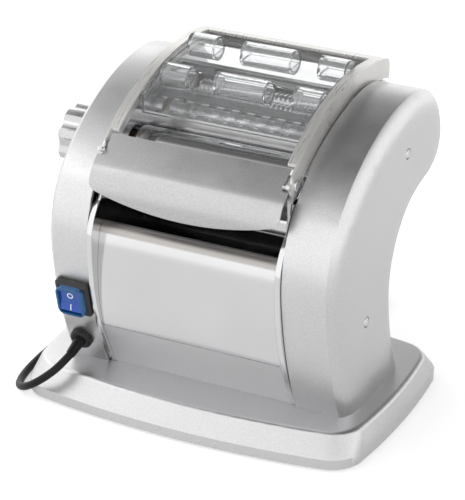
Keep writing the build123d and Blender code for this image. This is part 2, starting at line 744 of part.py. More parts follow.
with BuildPart() as smooth_sync_gear_rear:
    add(gear(LAYER_1, SMOOTH_REAR, SMOOTH_SYNC_TEETH, SMOOTH_SYNC_MODULE,
             gap_phase(NIP_TILT, SMOOTH_SYNC_TEETH), GEAR_WIDTH, SMOOTH_JOURNAL, LONG_TOOTH))
save(smooth_sync_gear_rear, "smooth_sync_gear_rear")

with BuildPart() as smooth_drive_gears:
    add(gear(LAYER_2, SMOOTH_REAR, DRIVE_TEETH, DRIVE_MODULE, DRIVE_ANGLE, GEAR_WIDTH, SMOOTH_JOURNAL))
    add(gear(LAYER_3, SMOOTH_REAR, FINAL_TEETH, DRIVE_MODULE, REDUCTION_ANGLE, GEAR_WIDTH, SMOOTH_JOURNAL))
save(smooth_drive_gears, "smooth_drive_gears")

with BuildPart() as wide_drive_gear:
    add(gear(LAYER_2, WIDE_FRONT, WIDE_TEETH, DRIVE_MODULE, gap_phase(DRIVE_ANGLE, WIDE_TEETH),
             GEAR_WIDTH, CUTTER_JOURNAL))
save(wide_drive_gear, "wide_drive_gear")

with BuildPart() as wide_transfer_gear:
    add(gear(LAYER_3, WIDE_REAR, TRANSFER_TEETH, DRIVE_MODULE, CUTTER_TILT, GEAR_WIDTH, CUTTER_JOURNAL))
save(wide_transfer_gear, "wide_transfer_gear")

with BuildPart() as fine_transfer_gear:
    add(gear(LAYER_3, FINE_FRONT, TRANSFER_TEETH, DRIVE_MODULE, gap_phase(CUTTER_TILT, TRANSFER_TEETH),
             GEAR_WIDTH, CUTTER_JOURNAL))
save(fine_transfer_gear, "fine_transfer_gear")

SYNC_X = -SYNC_LAYER - GEAR_WIDTH
for pair_name, front_centre, rear_centre in (("wide", WIDE_FRONT, WIDE_REAR), ("fine", FINE_FRONT, FINE_REAR)):
    with BuildPart() as sync_front:
        add(gear(SYNC_X, front_centre, SYNC_TEETH, SYNC_MODULE, CUTTER_TILT, GEAR_WIDTH, CUTTER_JOURNAL))
    save(sync_front, pair_name + "_sync_gear_front")
    with BuildPart() as sync_rear:
        add(gear(SYNC_X, rear_centre, SYNC_TEETH, SYNC_MODULE, gap_phase(CUTTER_TILT, SYNC_TEETH),
                 GEAR_WIDTH, CUTTER_JOURNAL))
    save(sync_rear, pair_name + "_sync_gear_rear")

STUD_END = 115.0
HUB_RADIUS = 7.0
GEAR_END = LAYER_4 + MOTOR_GEAR_WIDTH
REDUCTION_BORE = STUD_RADIUS + RUNNING
with BuildPart() as reduction_gear:
    add(gear(LAYER_3, REDUCTION, PINION_TEETH, DRIVE_MODULE, gap_phase(REDUCTION_ANGLE, PINION_TEETH),
             GEAR_WIDTH, REDUCTION_BORE))
    add(gear(LAYER_4, REDUCTION, REDUCTION_TEETH, DRIVE_MODULE, MOTOR_ANGLE, MOTOR_GEAR_WIDTH,
             REDUCTION_BORE))
    add(disc(LAYER_3, REDUCTION, HUB_RADIUS, GEAR_END - LAYER_3))
    add(disc(LAYER_3, REDUCTION, REDUCTION_BORE, GEAR_END - LAYER_3), mode=Mode.SUBTRACT)
save(reduction_gear, "reduction_gear")

with BuildPart() as reduction_stud:
    add(disc(PLATE_INNER, REDUCTION, STUD_RADIUS, STUD_END - PLATE_INNER))
    add(disc(PLATE_OUTER, REDUCTION, HUB_RADIUS, LAYER_3 - PLATE_OUTER - RUNNING))
save(reduction_stud, "reduction_stud")

with BuildPart() as motor_pinion:
    add(gear(LAYER_4, MOTOR, PINION_TEETH, DRIVE_MODULE, gap_phase(MOTOR_ANGLE, PINION_TEETH),
             MOTOR_GEAR_WIDTH, MOTOR_SHAFT))
save(motor_pinion, "motor_pinion")

# ---------------------------------------------------------------- gearmotor
GEARBOX_RADIUS = 29.0
GEARBOX_START = 40.0
CAN_RADIUS = 26.0
CAN_END = -45.0
BELL_ROUND = 4.0
with BuildPart() as motor:
    add(disc(GEARBOX_START, MOTOR, GEARBOX_RADIUS, PLATE_INNER - GEARBOX_START))
    add(disc(CAN_END, MOTOR, CAN_RADIUS, GEARBOX_START - CAN_END))
    fillet(motor.faces().sort_by(Axis.X)[0].edges(), BELL_ROUND)
    add(disc(GEARBOX_START, MOTOR, MOTOR_SHAFT + RUNNING, PLATE_INNER - GEARBOX_START), mode=Mode.SUBTRACT)
save(motor, "motor")

with BuildPart() as motor_shaft:
    add(disc(GEARBOX_START, MOTOR, MOTOR_SHAFT, GEAR_END - GEARBOX_START))
save(motor_shaft, "motor_shaft")

# ---------------------------------------------------------------- adjustable carriage and knob
FRONT_BOSS = 12.0
TIE_BOSS = 7.5
YOKE_OUTER = 12.5
CAM_DRIFT = 0.8               # sideways room for the cam in the yoke
CAM_SIDE = -0.65
WINDOW_CENTRE = along(along(KNOB, -SHEET_STEP_TRAVEL / 2, NIP_TILT), CAM_SIDE, NIP_TILT + 90)
CARRIAGE_BUSH = SMOOTH_JOURNAL + RUNNING + BUSH_WALL


def arm(x, with_yoke):
    """Carriage arm with a bush seat and a tie bar hole, on the left with the yoke round the cam."""
    with BuildPart() as plate:
        with BuildSketch(side_plane(x)):
            with Locations(SMOOTH_FRONT):
                Circle(FRONT_BOSS)
            with Locations(TIE):
                Circle(TIE_BOSS)
            make_hull()
        extrude(amount=ARM)
        if with_yoke:
            with BuildSketch(side_plane(x)):
                with Locations(SMOOTH_FRONT, KNOB):
                    Circle(TIE_BOSS)
                make_hull()
                with Locations(KNOB):
                    Circle(YOKE_OUTER)
            extrude(amount=ARM)
            with BuildSketch(side_plane(x)):
                with Locations(Location((*WINDOW_CENTRE, 0), (0, 0, NIP_TILT + 90))):
                    SlotCenterToCenter(CAM_DRIFT, 2 * (CAM_RADIUS + YOKE_CLEARANCE))
            extrude(amount=ARM, mode=Mode.SUBTRACT)
        add(disc(x, SMOOTH_FRONT, CARRIAGE_BUSH, ARM), mode=Mode.SUBTRACT)
        add(disc(x, TIE, TIE_RADIUS, ARM), mode=Mode.SUBTRACT)
    return plate.part


with BuildPart() as carriage_arms:
    add(arm(ARM_INNER, False))
    add(arm(-ARM_INNER - ARM, True))
save(carriage_arms, "carriage_arms")

with BuildPart() as carriage_tie_bar:
    add(disc(-ARM_INNER - ARM, TIE, TIE_RADIUS, 2 * (ARM_INNER + ARM)))
save(carriage_tie_bar, "carriage_tie_bar")

with BuildPart() as carriage_bushes:
    for x in (ARM_INNER, -ARM_INNER - ARM):
        add(disc(x, SMOOTH_FRONT, CARRIAGE_BUSH, ARM))
        add(disc(x, SMOOTH_FRONT, SMOOTH_JOURNAL + RUNNING, ARM), mode=Mode.SUBTRACT)
save(carriage_bushes, "carriage_bushes")

CAM_END = 86.5
SHAFT_SHORT = 3.0             # the shaft ends this far below the knob's face
with BuildPart() as knob_shaft:
    add(disc(-KNOB_OUTER + SHAFT_SHORT, KNOB, KNOB_SHAFT, KNOB_OUTER - SHAFT_SHORT - PLATE_INNER))
    add(disc(-CAM_END, CAM_CENTRE, CAM_RADIUS, CAM_END - PLATE_OUTER))
save(knob_shaft, "knob_shaft")

LOBES = 8
FLUTE_RADIUS = 10.0
FLUTE_DEPTH = 3.0
KNOB_ROUND = 2.0
with BuildPart() as knob:
    with BuildSketch(side_plane(-KNOB_OUTER)):
        with Locations(KNOB):
            Circle(KNOB_RADIUS)
            with PolarLocations(KNOB_RADIUS + FLUTE_RADIUS - FLUTE_DEPTH, LOBES):
                Circle(FLUTE_RADIUS, mode=Mode.SUBTRACT)
    extrude(amount=KNOB_OUTER - HOUSING_OUTER + LEFT_SHORTER - KNOB_GAP)
    fillet(knob.faces().sort_by(Axis.X)[0].edges(), KNOB_ROUND)
    add(disc(-KNOB_OUTER + SHAFT_SHORT, KNOB, KNOB_SHAFT, KNOB_OUTER), mode=Mode.SUBTRACT)
save(knob, "knob")

# ---------------------------------------------------------------- apron and guard brackets
APRON_OUTER_R = 199.0
APRON_NOTCH_Z = 208.4
APRON_TOP_Y = -54.0
PIN = (-67.5, 211.7)
PIN_RADIUS = 1.6
PIN_INNER = 73.2
BRACKET_INNER = 73.4
APRON_BEND = ((-76.0, 203.1), (-82.6, 193.2), (-85.0, 181.9))
APRON_LOW_Z = 172.0
APRON_SIDE_Z = 187.0
APRON_MIDDLE_Z = 174.5
APRON_CORNER = 8.0


def apron_front_outline():
    """Block with the apron's outline from the front: notched shoulders and a bowed lower edge."""
    low, high = APRON_HALF_LOW, APRON_HALF_TOP
    with BuildPart() as block:
        with BuildSketch(Plane.XZ.offset(40)) as outline:
            with BuildLine():
                Polyline((-low, APRON_SIDE_Z), (-low, APRON_NOTCH_Z), (-high, APRON_NOTCH_Z), (-high, 240),
                         (high, 240), (high, APRON_NOTCH_Z), (low, APRON_NOTCH_Z), (low, APRON_SIDE_Z))
                ThreePointArc((low, APRON_SIDE_Z), (0, APRON_MIDDLE_Z), (-low, APRON_SIDE_Z))
            make_face()
            corners = [v for v in outline.vertices() if abs(v.Y - APRON_SIDE_Z) < 1]
            fillet(corners, APRON_CORNER)
        extrude(amount=80)
    return block.part


with BuildPart() as apron:
    with BuildSketch(side_plane(-APRON_HALF_LOW)):
        with BuildLine():
            top = (APRON_TOP_Y, arch_z(APRON_TOP_Y, APRON_OUTER_R))
            middle = (-65.0, arch_z(-65.0, APRON_OUTER_R))
            ThreePointArc(top, middle, APRON_BEND[0])
            ThreePointArc(*APRON_BEND)
            Line(APRON_BEND[2], (APRON_BEND[2][0], APRON_LOW_Z))
            offset(amount=APRON_SHEET, side=Side.LEFT)
        make_face()
    extrude(amount=2 * APRON_HALF_LOW)
    add(apron_front_outline(), mode=Mode.INTERSECT)
save(apron, "apron")

PIVOT = (GUARD_PIVOT_Y, GUARD_PIVOT_Z)
BRACKET_FOOT = (-54.5, 181.0)
HUB = 6.5
FOOT_BOSS = 5.0
PIN_BOSS = 2.0
BRACKET = PLATE_INNER - BRACKET_INNER


def bracket():
    """Plate inside the side plate that carries the guard's pivot and the apron's pin."""
    with BuildPart() as plate:
        for end, radius in ((BRACKET_FOOT, FOOT_BOSS), (PIN, PIN_BOSS)):
            with BuildSketch(side_plane(BRACKET_INNER)):
                with Locations(PIVOT):
                    Circle(HUB)
                with Locations(end):
                    Circle(radius)
                make_hull()
            extrude(amount=BRACKET)
        add(disc(BRACKET_INNER, PIVOT, PIVOT_RADIUS, BRACKET), mode=Mode.SUBTRACT)
        add(disc(BRACKET_INNER, PIN, PIN_RADIUS, BRACKET), mode=Mode.SUBTRACT)
    return plate.part


with BuildPart() as guard_brackets:
    add(both_sides(bracket()))
save(guard_brackets, "guard_brackets")

with BuildPart() as apron_pins:
    add(both_sides(disc(PIN_INNER, PIN, PIN_RADIUS, APRON_HALF_LOW - PIN_INNER)))
save(apron_pins, "apron_pins")

PIVOT_HEAD = 4.5
PIVOT_HEAD_THICK = 1.4
with BuildPart() as pivot_screw:
    add(disc(BRACKET_INNER, PIVOT, PIVOT_RADIUS, GUARD_OUTER - BRACKET_INNER))
    add(disc(GUARD_OUTER, PIVOT, PIVOT_HEAD, PIVOT_HEAD_THICK))
    fillet(pivot_screw.faces().sort_by(Axis.X)[-1].edges(), 0.8)
with BuildPart() as guard_pivot_screws:
    add(both_sides(pivot_screw.part))
save(guard_pivot_screws, "guard_pivot_screws")

# ---------------------------------------------------------------- guard
WEB_INNER = GUARD_OUTER - GUARD_SHEET
WINDOW_FRONT_Y = -51.5
WINDOW_REAR_Y = 92.0
GUARD_REAR = 112.0
REAR_CORNER = 8.0


def arch_block(half_width, front, rear, outer_r, inner_r, corner):
    """Arched slab under a radius, from a front to a rear depth, with a round rear top edge."""
    with BuildPart() as slab:
        with BuildSketch(side_plane(-half_width)) as profile:
            with BuildLine():
                middle = (front + rear) / 2
                ThreePointArc((front, arch_z(front, outer_r)), (middle, arch_z(middle, outer_r)),
                              (rear, arch_z(rear, outer_r)))
                Line((rear, arch_z(rear, outer_r)), (rear, arch_z(rear, inner_r)))
                ThreePointArc((rear, arch_z(rear, inner_r)), (middle, arch_z(middle, inner_r)),
                              (front, arch_z(front, inner_r)))
                Line((front, arch_z(front, inner_r)), (front, arch_z(front, outer_r)))
            make_face()
            if corner:
                fillet(profile.vertices().sort_by(Axis.X)[-2:].sort_by(Axis.Y)[-1], corner)
        extrude(amount=2 * half_width)
    return slab.part


def cut_block(half_width, front, rear):
    """Tall block that opens the guard's top from a front to a rear depth."""
    with BuildPart() as block:
        with BuildSketch(Plane.XY.offset(BASE_TOP)):
            with Locations((0, (front + rear) / 2)):
                Rectangle(2 * half_width, rear - front)
        extrude(amount=GUARD_Z + GUARD_R)
    return block.part


GUARD_SCREWS = ((71.8, -4.0), (71.8, 84.0), (-71.8, -4.0), (-71.8, 84.0))
GUARD_SCREW = 1.6
GUARD_SCREW_HEAD = 2.8
COVER_FLANGE = 2.0


def guard_screw(x, y, radius, low_r, high_r):
    """Upright cylinder at (x, y) between two radii of the arch."""
    bottom = arch_z(y, low_r)
    with BuildPart() as cylinder:
        with BuildSketch(Plane.XY.offset(bottom)):
            with Locations((x, y)):
                Circle(radius)
        extrude(amount=arch_z(y, high_r) - bottom)
    return cylinder.part


with BuildPart() as guard_frame:
    add(arch_block(GUARD_OUTER, FRAME_FRONT_Y, GUARD_REAR, GUARD_R, GUARD_R - GUARD_DEPTH - 1, REAR_CORNER))
    add(arch_block(WEB_INNER, FRAME_FRONT_Y - 9, GUARD_REAR - GUARD_SHEET, GUARD_R - GUARD_SHEET,
                   GUARD_R - 2 * GUARD_DEPTH, REAR_CORNER - GUARD_SHEET), mode=Mode.SUBTRACT)
    add(cut_block(GUARD_OUTER - GUARD_FLANGE, WINDOW_FRONT_Y - 1, WINDOW_REAR_Y), mode=Mode.SUBTRACT)
    add(cut_block(WEB_INNER, FRAME_FRONT_Y - 9, WINDOW_FRONT_Y), mode=Mode.SUBTRACT)
    for side in (WEB_INNER, -GUARD_OUTER):
        add(disc(side, PIVOT, GUARD_EAR, GUARD_SHEET))
    add(disc(-GUARD_OUTER, PIVOT, PIVOT_RADIUS + RUNNING, 2 * GUARD_OUTER), mode=Mode.SUBTRACT)
    for x, y in GUARD_SCREWS:
        add(guard_screw(x, y, GUARD_SCREW, GUARD_R - 3, GUARD_R - 0.4), mode=Mode.SUBTRACT)
save(guard_frame, "guard_frame")

# clear cover: a tray hung under the frame's flanges, with two feed slots behind rows of humps
COVER_HALF = 68.5
COVER_FLANGE_HALF = 75.3
COVER_FRONT_Y = -17.5
COVER_REAR_Y = 98.0
COVER_CURVE = ((COVER_FRONT_Y, 224.6), (17.0, 241.8), (COVER_REAR_Y, 247.0))
COVER_MIDDLE_Y = (COVER_FRONT_Y + COVER_REAR_Y) / 2
COVER_UNDER_R = GUARD_R - GUARD_SHEET
SLOT_HALF = 62.0
SLOT_DEPTH = 9.0
SLOT_OFFSET = 15.5            # from the hump's centre to the middle of the slot behind it

with BuildPart() as cover_walls:
    with BuildSketch(side_plane(-COVER_HALF)):
        with BuildLine():
            skin = ThreePointArc(*COVER_CURVE)
            rear_top = (COVER_REAR_Y, arch_z(COVER_REAR_Y, COVER_UNDER_R))
            front_top = (COVER_FRONT_Y, arch_z(COVER_FRONT_Y, COVER_UNDER_R))
            Line(skin @ 1, rear_top)
            ThreePointArc(rear_top, (COVER_MIDDLE_Y, arch_z(COVER_MIDDLE_Y, COVER_UNDER_R)), front_top)
            Line(front_top, skin @ 0)
        make_face()
    extrude(amount=2 * COVER_HALF)

with BuildPart() as guard_cover:
    add(cover_walls.part)
    with BuildSketch(side_plane(-COVER_HALF + COVER_SHEET)):
        with Locations((COVER_MIDDLE_Y, GUARD_Z)):
            Rectangle(2 * GUARD_R, 3 * GUARD_R)
    extrude(amount=2 * (COVER_HALF - COVER_SHEET), mode=Mode.SUBTRACT)
    add(sheet(side_plane(-COVER_HALF), arc(COVER_CURVE), COVER_SHEET, Side.RIGHT, 2 * COVER_HALF))
    for x in (-COVER_FLANGE_HALF, COVER_HALF - COVER_SHEET):
        with BuildSketch(side_plane(x)):
            with BuildLine():
                ThreePointArc(*[(y, arch_z(y, COVER_UNDER_R))
                                for y in (COVER_FRONT_Y, COVER_MIDDLE_Y, COVER_REAR_Y)])
                offset(amount=COVER_FLANGE, side=Side.RIGHT)
            make_face()
        extrude(amount=COVER_FLANGE_HALF - COVER_HALF + COVER_SHEET)
    for centre in HUMP_CENTRES:
        for low, high in HUMP_SPANS:
            add(disc(low, centre, HUMP_RADIUS, high - low))
            add(disc(low + COVER_SHEET, centre, HUMP_RADIUS - COVER_SHEET, high - low - 2 * COVER_SHEET),
                mode=Mode.SUBTRACT)
    with BuildSketch(Plane.XY.offset(COVER_CURVE[0][1])):
        for y, z in HUMP_CENTRES:
            with Locations((0, y + SLOT_OFFSET)):
                Rectangle(2 * SLOT_HALF, SLOT_DEPTH)
    extrude(amount=GUARD_R, mode=Mode.SUBTRACT)
    for x, y in GUARD_SCREWS:
        add(guard_screw(x, y, GUARD_SCREW, GUARD_R - 8, GUARD_R - 1), mode=Mode.SUBTRACT)
save(guard_cover, "guard_cover")

with BuildPart() as guard_screws:
    for x, y in GUARD_SCREWS:
        add(guard_screw(x, y, GUARD_SCREW, GUARD_R - 6, GUARD_R - 0.4))
        add(guard_screw(x, y, GUARD_SCREW_HEAD, GUARD_R - 6.6, GUARD_R - 5))
save(guard_screws, "guard_screws")

# ---------------------------------------------------------------- switch
BEZEL_ROUND = 3.0
BEZEL_CHAMFER = 2.4
BOOT_WIDTH = 23.6
BOOT_HEIGHT = 26.0
BOOT_ROUND = 6.0
BOOT_PROUD = 10.0
BOOT_WALL = 2.4
BOOT_EDGE = 1.5
WINDOW_ROUND = 0.8
ROCKER_GAP = 0.3
ROCKER_SWING = 8.0            # degrees either side of level
ROCKER_HALF_HEIGHT = 9.1
ROCKER_LEVEL = 7.4            # height of the rocker's middle above the housing
ROCKER_HALF_WIDTH = BOOT_WIDTH / 2 - BOOT_WALL - ROCKER_GAP
BOOT_SEAT = 1.0               # the boot's foot above the housing's face
PIVOT_PIN = 0.9               # below the boot's foot
SWITCH_WALL = 2.0
PIVOT_PIN_START = SWITCH_X - SWITCH_BODY_WIDTH / 2 + SWITCH_WALL / 2
WELL_DEPTH = 5.0

with BuildPart() as switch_bezel:
    with BuildSketch(SWITCH_PLANE):
        RectangleRounded(BEZEL_WIDTH, BEZEL_HEIGHT, BEZEL_ROUND)
    extrude(amount=BEZEL_PROUD)
    front = switch_bezel.faces().sort_by(Axis(SWITCH_PLANE.origin, FACE_NORMAL))[-1]
    chamfer(front.edges(), BEZEL_CHAMFER)
    with BuildSketch(SWITCH_PLANE.offset(-SWITCH_BODY_DEPTH)):
        Rectangle(SWITCH_BODY_WIDTH, SWITCH_BODY_HEIGHT)
    extrude(amount=SWITCH_BODY_DEPTH)
    with BuildSketch(SWITCH_PLANE.offset(BOOT_SEAT)):
        RectangleRounded(BOOT_WIDTH, BOOT_HEIGHT, BOOT_ROUND)
    extrude(amount=BEZEL_PROUD, mode=Mode.SUBTRACT)
    with BuildSketch(SWITCH_PLANE.offset(-WELL_DEPTH)):
        RectangleRounded(BOOT_WIDTH - 2 * BOOT_WALL, BOOT_HEIGHT - 2 * BOOT_WALL, WINDOW_ROUND)
    extrude(amount=WELL_DEPTH + BOOT_SEAT, mode=Mode.SUBTRACT)
    with BuildSketch(Plane.YZ.offset(PIVOT_PIN_START)):
        with Locations((SWITCH_Y, SWITCH_Z)):
            Circle(PIVOT_PIN + RUNNING)
    extrude(amount=SWITCH_BODY_WIDTH - SWITCH_WALL, mode=Mode.SUBTRACT)
save(switch_bezel, "switch_bezel")

with BuildPart() as switch_boot:
    with BuildSketch(SWITCH_PLANE.offset(BOOT_SEAT)):
        RectangleRounded(BOOT_WIDTH, BOOT_HEIGHT, BOOT_ROUND)
    extrude(amount=BOOT_PROUD - BOOT_SEAT)
    front = switch_boot.faces().sort_by(Axis(SWITCH_PLANE.origin, FACE_NORMAL))[-1]
    fillet(front.edges(), BOOT_EDGE)
    with BuildSketch(SWITCH_PLANE.offset(BOOT_SEAT)):
        RectangleRounded(BOOT_WIDTH - 2 * BOOT_WALL, BOOT_HEIGHT - 2 * BOOT_WALL, WINDOW_ROUND)
    extrude(amount=BOOT_PROUD, mode=Mode.SUBTRACT)
save(switch_boot, "switch_boot")


def rocker_point(up, out):
    """Point of the rocker's side profile with its upper half pressed in, as (y, z)."""
    swung = along((0, 0), up, -ROCKER_SWING)
    raised = along((0, 0), out, 90 - ROCKER_SWING)
    u, v = swung[0] + raised[0], swung[1] + raised[1]
    tilt = radians(SWITCH_TILT)
    return (SWITCH_Y - u * sin(tilt) - v * cos(tilt), SWITCH_Z + u * cos(tilt) - v * sin(tilt))


EDGE_RISE = ROCKER_HALF_HEIGHT * sin(radians(ROCKER_SWING))
with BuildPart() as switch_rocker:
    with BuildSketch(Plane.YZ.offset(SWITCH_X - ROCKER_HALF_WIDTH)):
        with BuildLine():
            Polyline(rocker_point(-ROCKER_HALF_HEIGHT, ROCKER_LEVEL + EDGE_RISE),
                     rocker_point(0, ROCKER_LEVEL),
                     rocker_point(ROCKER_HALF_HEIGHT, ROCKER_LEVEL + EDGE_RISE),
                     rocker_point(ROCKER_HALF_HEIGHT, ROCKER_LEVEL - 2),
                     rocker_point(4, -3),
                     rocker_point(-4, -3),
                     rocker_point(-ROCKER_HALF_HEIGHT, ROCKER_LEVEL - 2),
                     close=True)
        make_face()
    extrude(amount=2 * ROCKER_HALF_WIDTH)
    with BuildSketch(Plane.YZ.offset(PIVOT_PIN_START)):
        with Locations((SWITCH_Y, SWITCH_Z)):
            Circle(PIVOT_PIN)
    extrude(amount=SWITCH_BODY_WIDTH - SWITCH_WALL)
save(switch_rocker, "switch_rocker")

# ---------------------------------------------------------------- cord
RELIEF_THICK = 4.6
RELIEF_THIN = 3.7
GLAND_BORE = RELIEF_THICK
GLAND_BACK = 6.0
with BuildPart() as cord_gland:
    with BuildSketch(GLAND_PLANE):
        Circle(GLAND_FLANGE)
    extrude(amount=GLAND_THICK)
    front = cord_gland.faces().sort_by(Axis(GLAND_PLANE.origin, GLAND_NORMAL))[-1]
    fillet(front.edges(), 2.5)
    with BuildSketch(GLAND_PLANE.offset(-GLAND_BACK)):
        Circle(GLAND_NECK)
    extrude(amount=GLAND_BACK)
    with BuildSketch(GLAND_PLANE.offset(-GLAND_BACK)):
        Circle(GLAND_BORE)
    extrude(amount=GLAND_BACK + GLAND_THICK, mode=Mode.SUBTRACT)
save(cord_gland, "cord_gland")

COIL_CENTRE = (-60.0, 156.0)
COIL_MIDDLE = 36.0            # radius of the middle one of three turns side by side
CORD_PITCH = 2 * CORD_RADIUS + 0.2
COIL_OUTER = COIL_MIDDLE + 1.5 * CORD_PITCH
COIL_INNER = COIL_MIDDLE - 1.5 * CORD_PITCH
COIL_HEIGHT = 2 * CORD_PITCH
COIL_ROUND = 2.5
FLOOR = CORD_RADIUS           # height of the cord's centre line where it lies on the table

ROUTE = [
    (-98.8, -82.5, 40.6),
    (-102.8, -92.8, 34.0),
    (-110.5, -100.3, 27.0),
    (-121.0, -102.6, 18.9),
    (-132.0, -98.8, 11.9),
    (-142.0, -89.1, 6.3),
    (-149.0, -75.0, 3.6),
    (-153.0, -54.0, FLOOR),
    (-154.5, -27.0, FLOOR),
    (-154.0, 4.0, FLOOR),
    (-153.0, 35.0, FLOOR),
    (-150.5, 65.0, FLOOR),
    (-143.0, 89.0, FLOOR),
    (-127.5, 106.0, FLOOR),
    (-106.0, 115.0, FLOOR),
    (-84.0, 118.5, FLOOR),
]


def bend_radii(points):
    """Radius at each corner of the cord's route, as large as its two runs allow."""
    radii = []
    for before, corner, after in zip(points, points[1:], points[2:]):
        first = Vector(*corner) - Vector(*before)
        second = Vector(*after) - Vector(*corner)
        half_turn = radians(first.get_angle(second) / 2)
        radii.append(0.45 * min(first.length, second.length) * cos(half_turn) / sin(half_turn))
    return radii


print("cord radii", [round(radius, 1) for radius in bend_radii(ROUTE)])
print("cord runs", [round((Vector(*b) - Vector(*a)).length, 1) for a, b in zip(ROUTE, ROUTE[1:])])

# plug beside the coil, on the line that leaves the outermost turn
PLUG_TURN = 40.0              # degrees from +X towards +Y
TAIL_LENGTH = 15.0
PLUG_RELIEF = 24.0
PLUG_LENGTH = 36.0
PLUG_WIDTH = 25.0
PLUG_HEIGHT = 16.0
PLUG_NOSE = 0.86              # front size as a share of the back's
PRONG_RADIUS = 2.2
PRONG_SPACING = 14.0
PRONG_LENGTH = 19.0
TAIL_TURN = PLUG_TURN - 90
TAIL_HIDDEN = 14.0            # length of the tail that still lies in the coil
LEAVING = along(along(COIL_CENTRE, COIL_MIDDLE + CORD_PITCH, TAIL_TURN), TAIL_HIDDEN, PLUG_TURN)
TAIL_START = (*LEAVING, PLUG_HEIGHT / 2)
TAIL_PLANE = Plane(TAIL_START, x_dir=(-sin(radians(PLUG_TURN)), cos(radians(PLUG_TURN)), 0),
                   z_dir=(cos(radians(PLUG_TURN)), sin(radians(PLUG_TURN)), 0))

EXIT_PLANE = Plane(ROUTE[0], z_dir=Vector(*ROUTE[1]) - Vector(*ROUTE[0]))
with BuildPart() as strain_relief:
    with BuildSketch(GLAND_PLANE.offset(-GLAND_BACK)):
        Circle(RELIEF_THICK)
    extrude(amount=GLAND_BACK + GLAND_THICK)
    with BuildSketch(GLAND_PLANE.offset(GLAND_THICK)):
        Circle(RELIEF_THICK)
    with BuildSketch(EXIT_PLANE):
        Circle(RELIEF_THIN)
    loft()
save(strain_relief, "strain_relief")

with BuildPart() as power_cord:
    with BuildLine() as path:
        FilletPolyline(*ROUTE, radius=bend_radii(ROUTE))
    with BuildSketch(EXIT_PLANE):
        Circle(CORD_RADIUS)
    sweep(path=path.line)
    with BuildSketch(TAIL_PLANE):
        Circle(CORD_RADIUS)
    extrude(amount=TAIL_LENGTH)
save(power_cord, "power_cord")
cord_length = sum(edge.length for edge in path.edges())
print("cord run", cord_length, "volume ratio",
      (power_cord.part.volume / (cord_length + TAIL_LENGTH) / CORD_RADIUS**2 / pi))

with BuildPart() as cord_coil:
    with BuildSketch(Plane.XZ.offset(-COIL_CENTRE[1])) as section:
        with Locations((COIL_CENTRE[0] + COIL_MIDDLE, COIL_HEIGHT / 2)):
            Rectangle(COIL_OUTER - COIL_INNER, COIL_HEIGHT)
        fillet(section.vertices(), COIL_ROUND)
    revolve(axis=Axis((*COIL_CENTRE, 0), (0, 0, 1)))
save(cord_coil, "cord_coil")

with BuildPart() as plug:
    with BuildSketch(TAIL_PLANE.offset(TAIL_LENGTH)):
        Circle(RELIEF_THIN)
    with BuildSketch(TAIL_PLANE.offset(TAIL_LENGTH + PLUG_RELIEF)):
        Circle(RELIEF_THICK + 1)
    loft()
    with BuildSketch(TAIL_PLANE.offset(TAIL_LENGTH + PLUG_RELIEF)):
        RectangleRounded(PLUG_WIDTH * PLUG_NOSE, PLUG_HEIGHT * PLUG_NOSE, 5)
    with BuildSketch(TAIL_PLANE.offset(TAIL_LENGTH + PLUG_RELIEF + PLUG_LENGTH)):
        RectangleRounded(PLUG_WIDTH, PLUG_HEIGHT, 5)
    loft()
    with BuildSketch(TAIL_PLANE.offset(TAIL_LENGTH + PLUG_RELIEF + PLUG_LENGTH)):
        with Locations((-PRONG_SPACING / 2, 0), (PRONG_SPACING / 2, 0)):
            Circle(PRONG_RADIUS)
    extrude(amount=PRONG_LENGTH)
save(plug, "plug")

# ---------------------------------------------------------------- origin and files
CORD_PIECES = ("power_cord", "cord_coil", "plug")
boxes = [piece.bounding_box() for name, piece in FINISHED.items() if name not in CORD_PIECES]
MIDDLE_Y = (min(box.min.Y for box in boxes) + max(box.max.Y for box in boxes)) / 2
for name, piece in FINISHED.items():
    centred = piece.moved(Location((0, -MIDDLE_Y, 0)))
    centred.label = name
    export_step(centred, f"parts/{name}.step")
print("middle", MIDDLE_Y, "switch", SWITCH_Y, SWITCH_TILT)
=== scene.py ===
"""Looks of the electric pasta maker: satin housings, polished sheets, rollers, cover and cord.

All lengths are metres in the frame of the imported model: +X to the user's right, -Y to the front,
+Z up, with the origin on the table under the machine.
"""
from math import cos, pi, radians, sin

import bmesh
import bpy
from mathutils import Matrix, Vector


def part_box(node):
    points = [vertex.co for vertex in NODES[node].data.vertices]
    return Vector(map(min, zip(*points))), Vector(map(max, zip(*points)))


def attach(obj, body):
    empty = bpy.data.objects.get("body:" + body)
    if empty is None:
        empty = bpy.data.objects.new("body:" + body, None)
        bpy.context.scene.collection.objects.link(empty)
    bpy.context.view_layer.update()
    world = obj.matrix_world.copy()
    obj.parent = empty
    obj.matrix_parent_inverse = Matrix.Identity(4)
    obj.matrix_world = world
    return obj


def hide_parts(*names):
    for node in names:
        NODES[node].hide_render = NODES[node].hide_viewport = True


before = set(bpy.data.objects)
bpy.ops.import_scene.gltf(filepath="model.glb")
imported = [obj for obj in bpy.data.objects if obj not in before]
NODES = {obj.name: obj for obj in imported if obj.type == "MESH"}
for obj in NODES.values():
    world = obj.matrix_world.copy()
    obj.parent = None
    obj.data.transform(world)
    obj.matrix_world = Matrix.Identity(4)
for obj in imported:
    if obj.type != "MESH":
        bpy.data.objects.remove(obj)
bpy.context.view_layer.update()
MM = 0.001
BASE_LOW, BASE_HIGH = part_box("base")
BASE_Y = (BASE_LOW.y + BASE_HIGH.y) / 2     # the camera looks at the middle of the base


def add_object(name, data):
    """New object of the scene."""
    item = bpy.data.objects.new(name, data)
    bpy.context.scene.collection.objects.link(item)
    return item


def add_mesh(name, bm):
    """New object of the scene from a bmesh, which is used up."""
    mesh = bpy.data.meshes.new(name)
    bm.to_mesh(mesh)
    bm.free()
    return add_object(name, mesh)


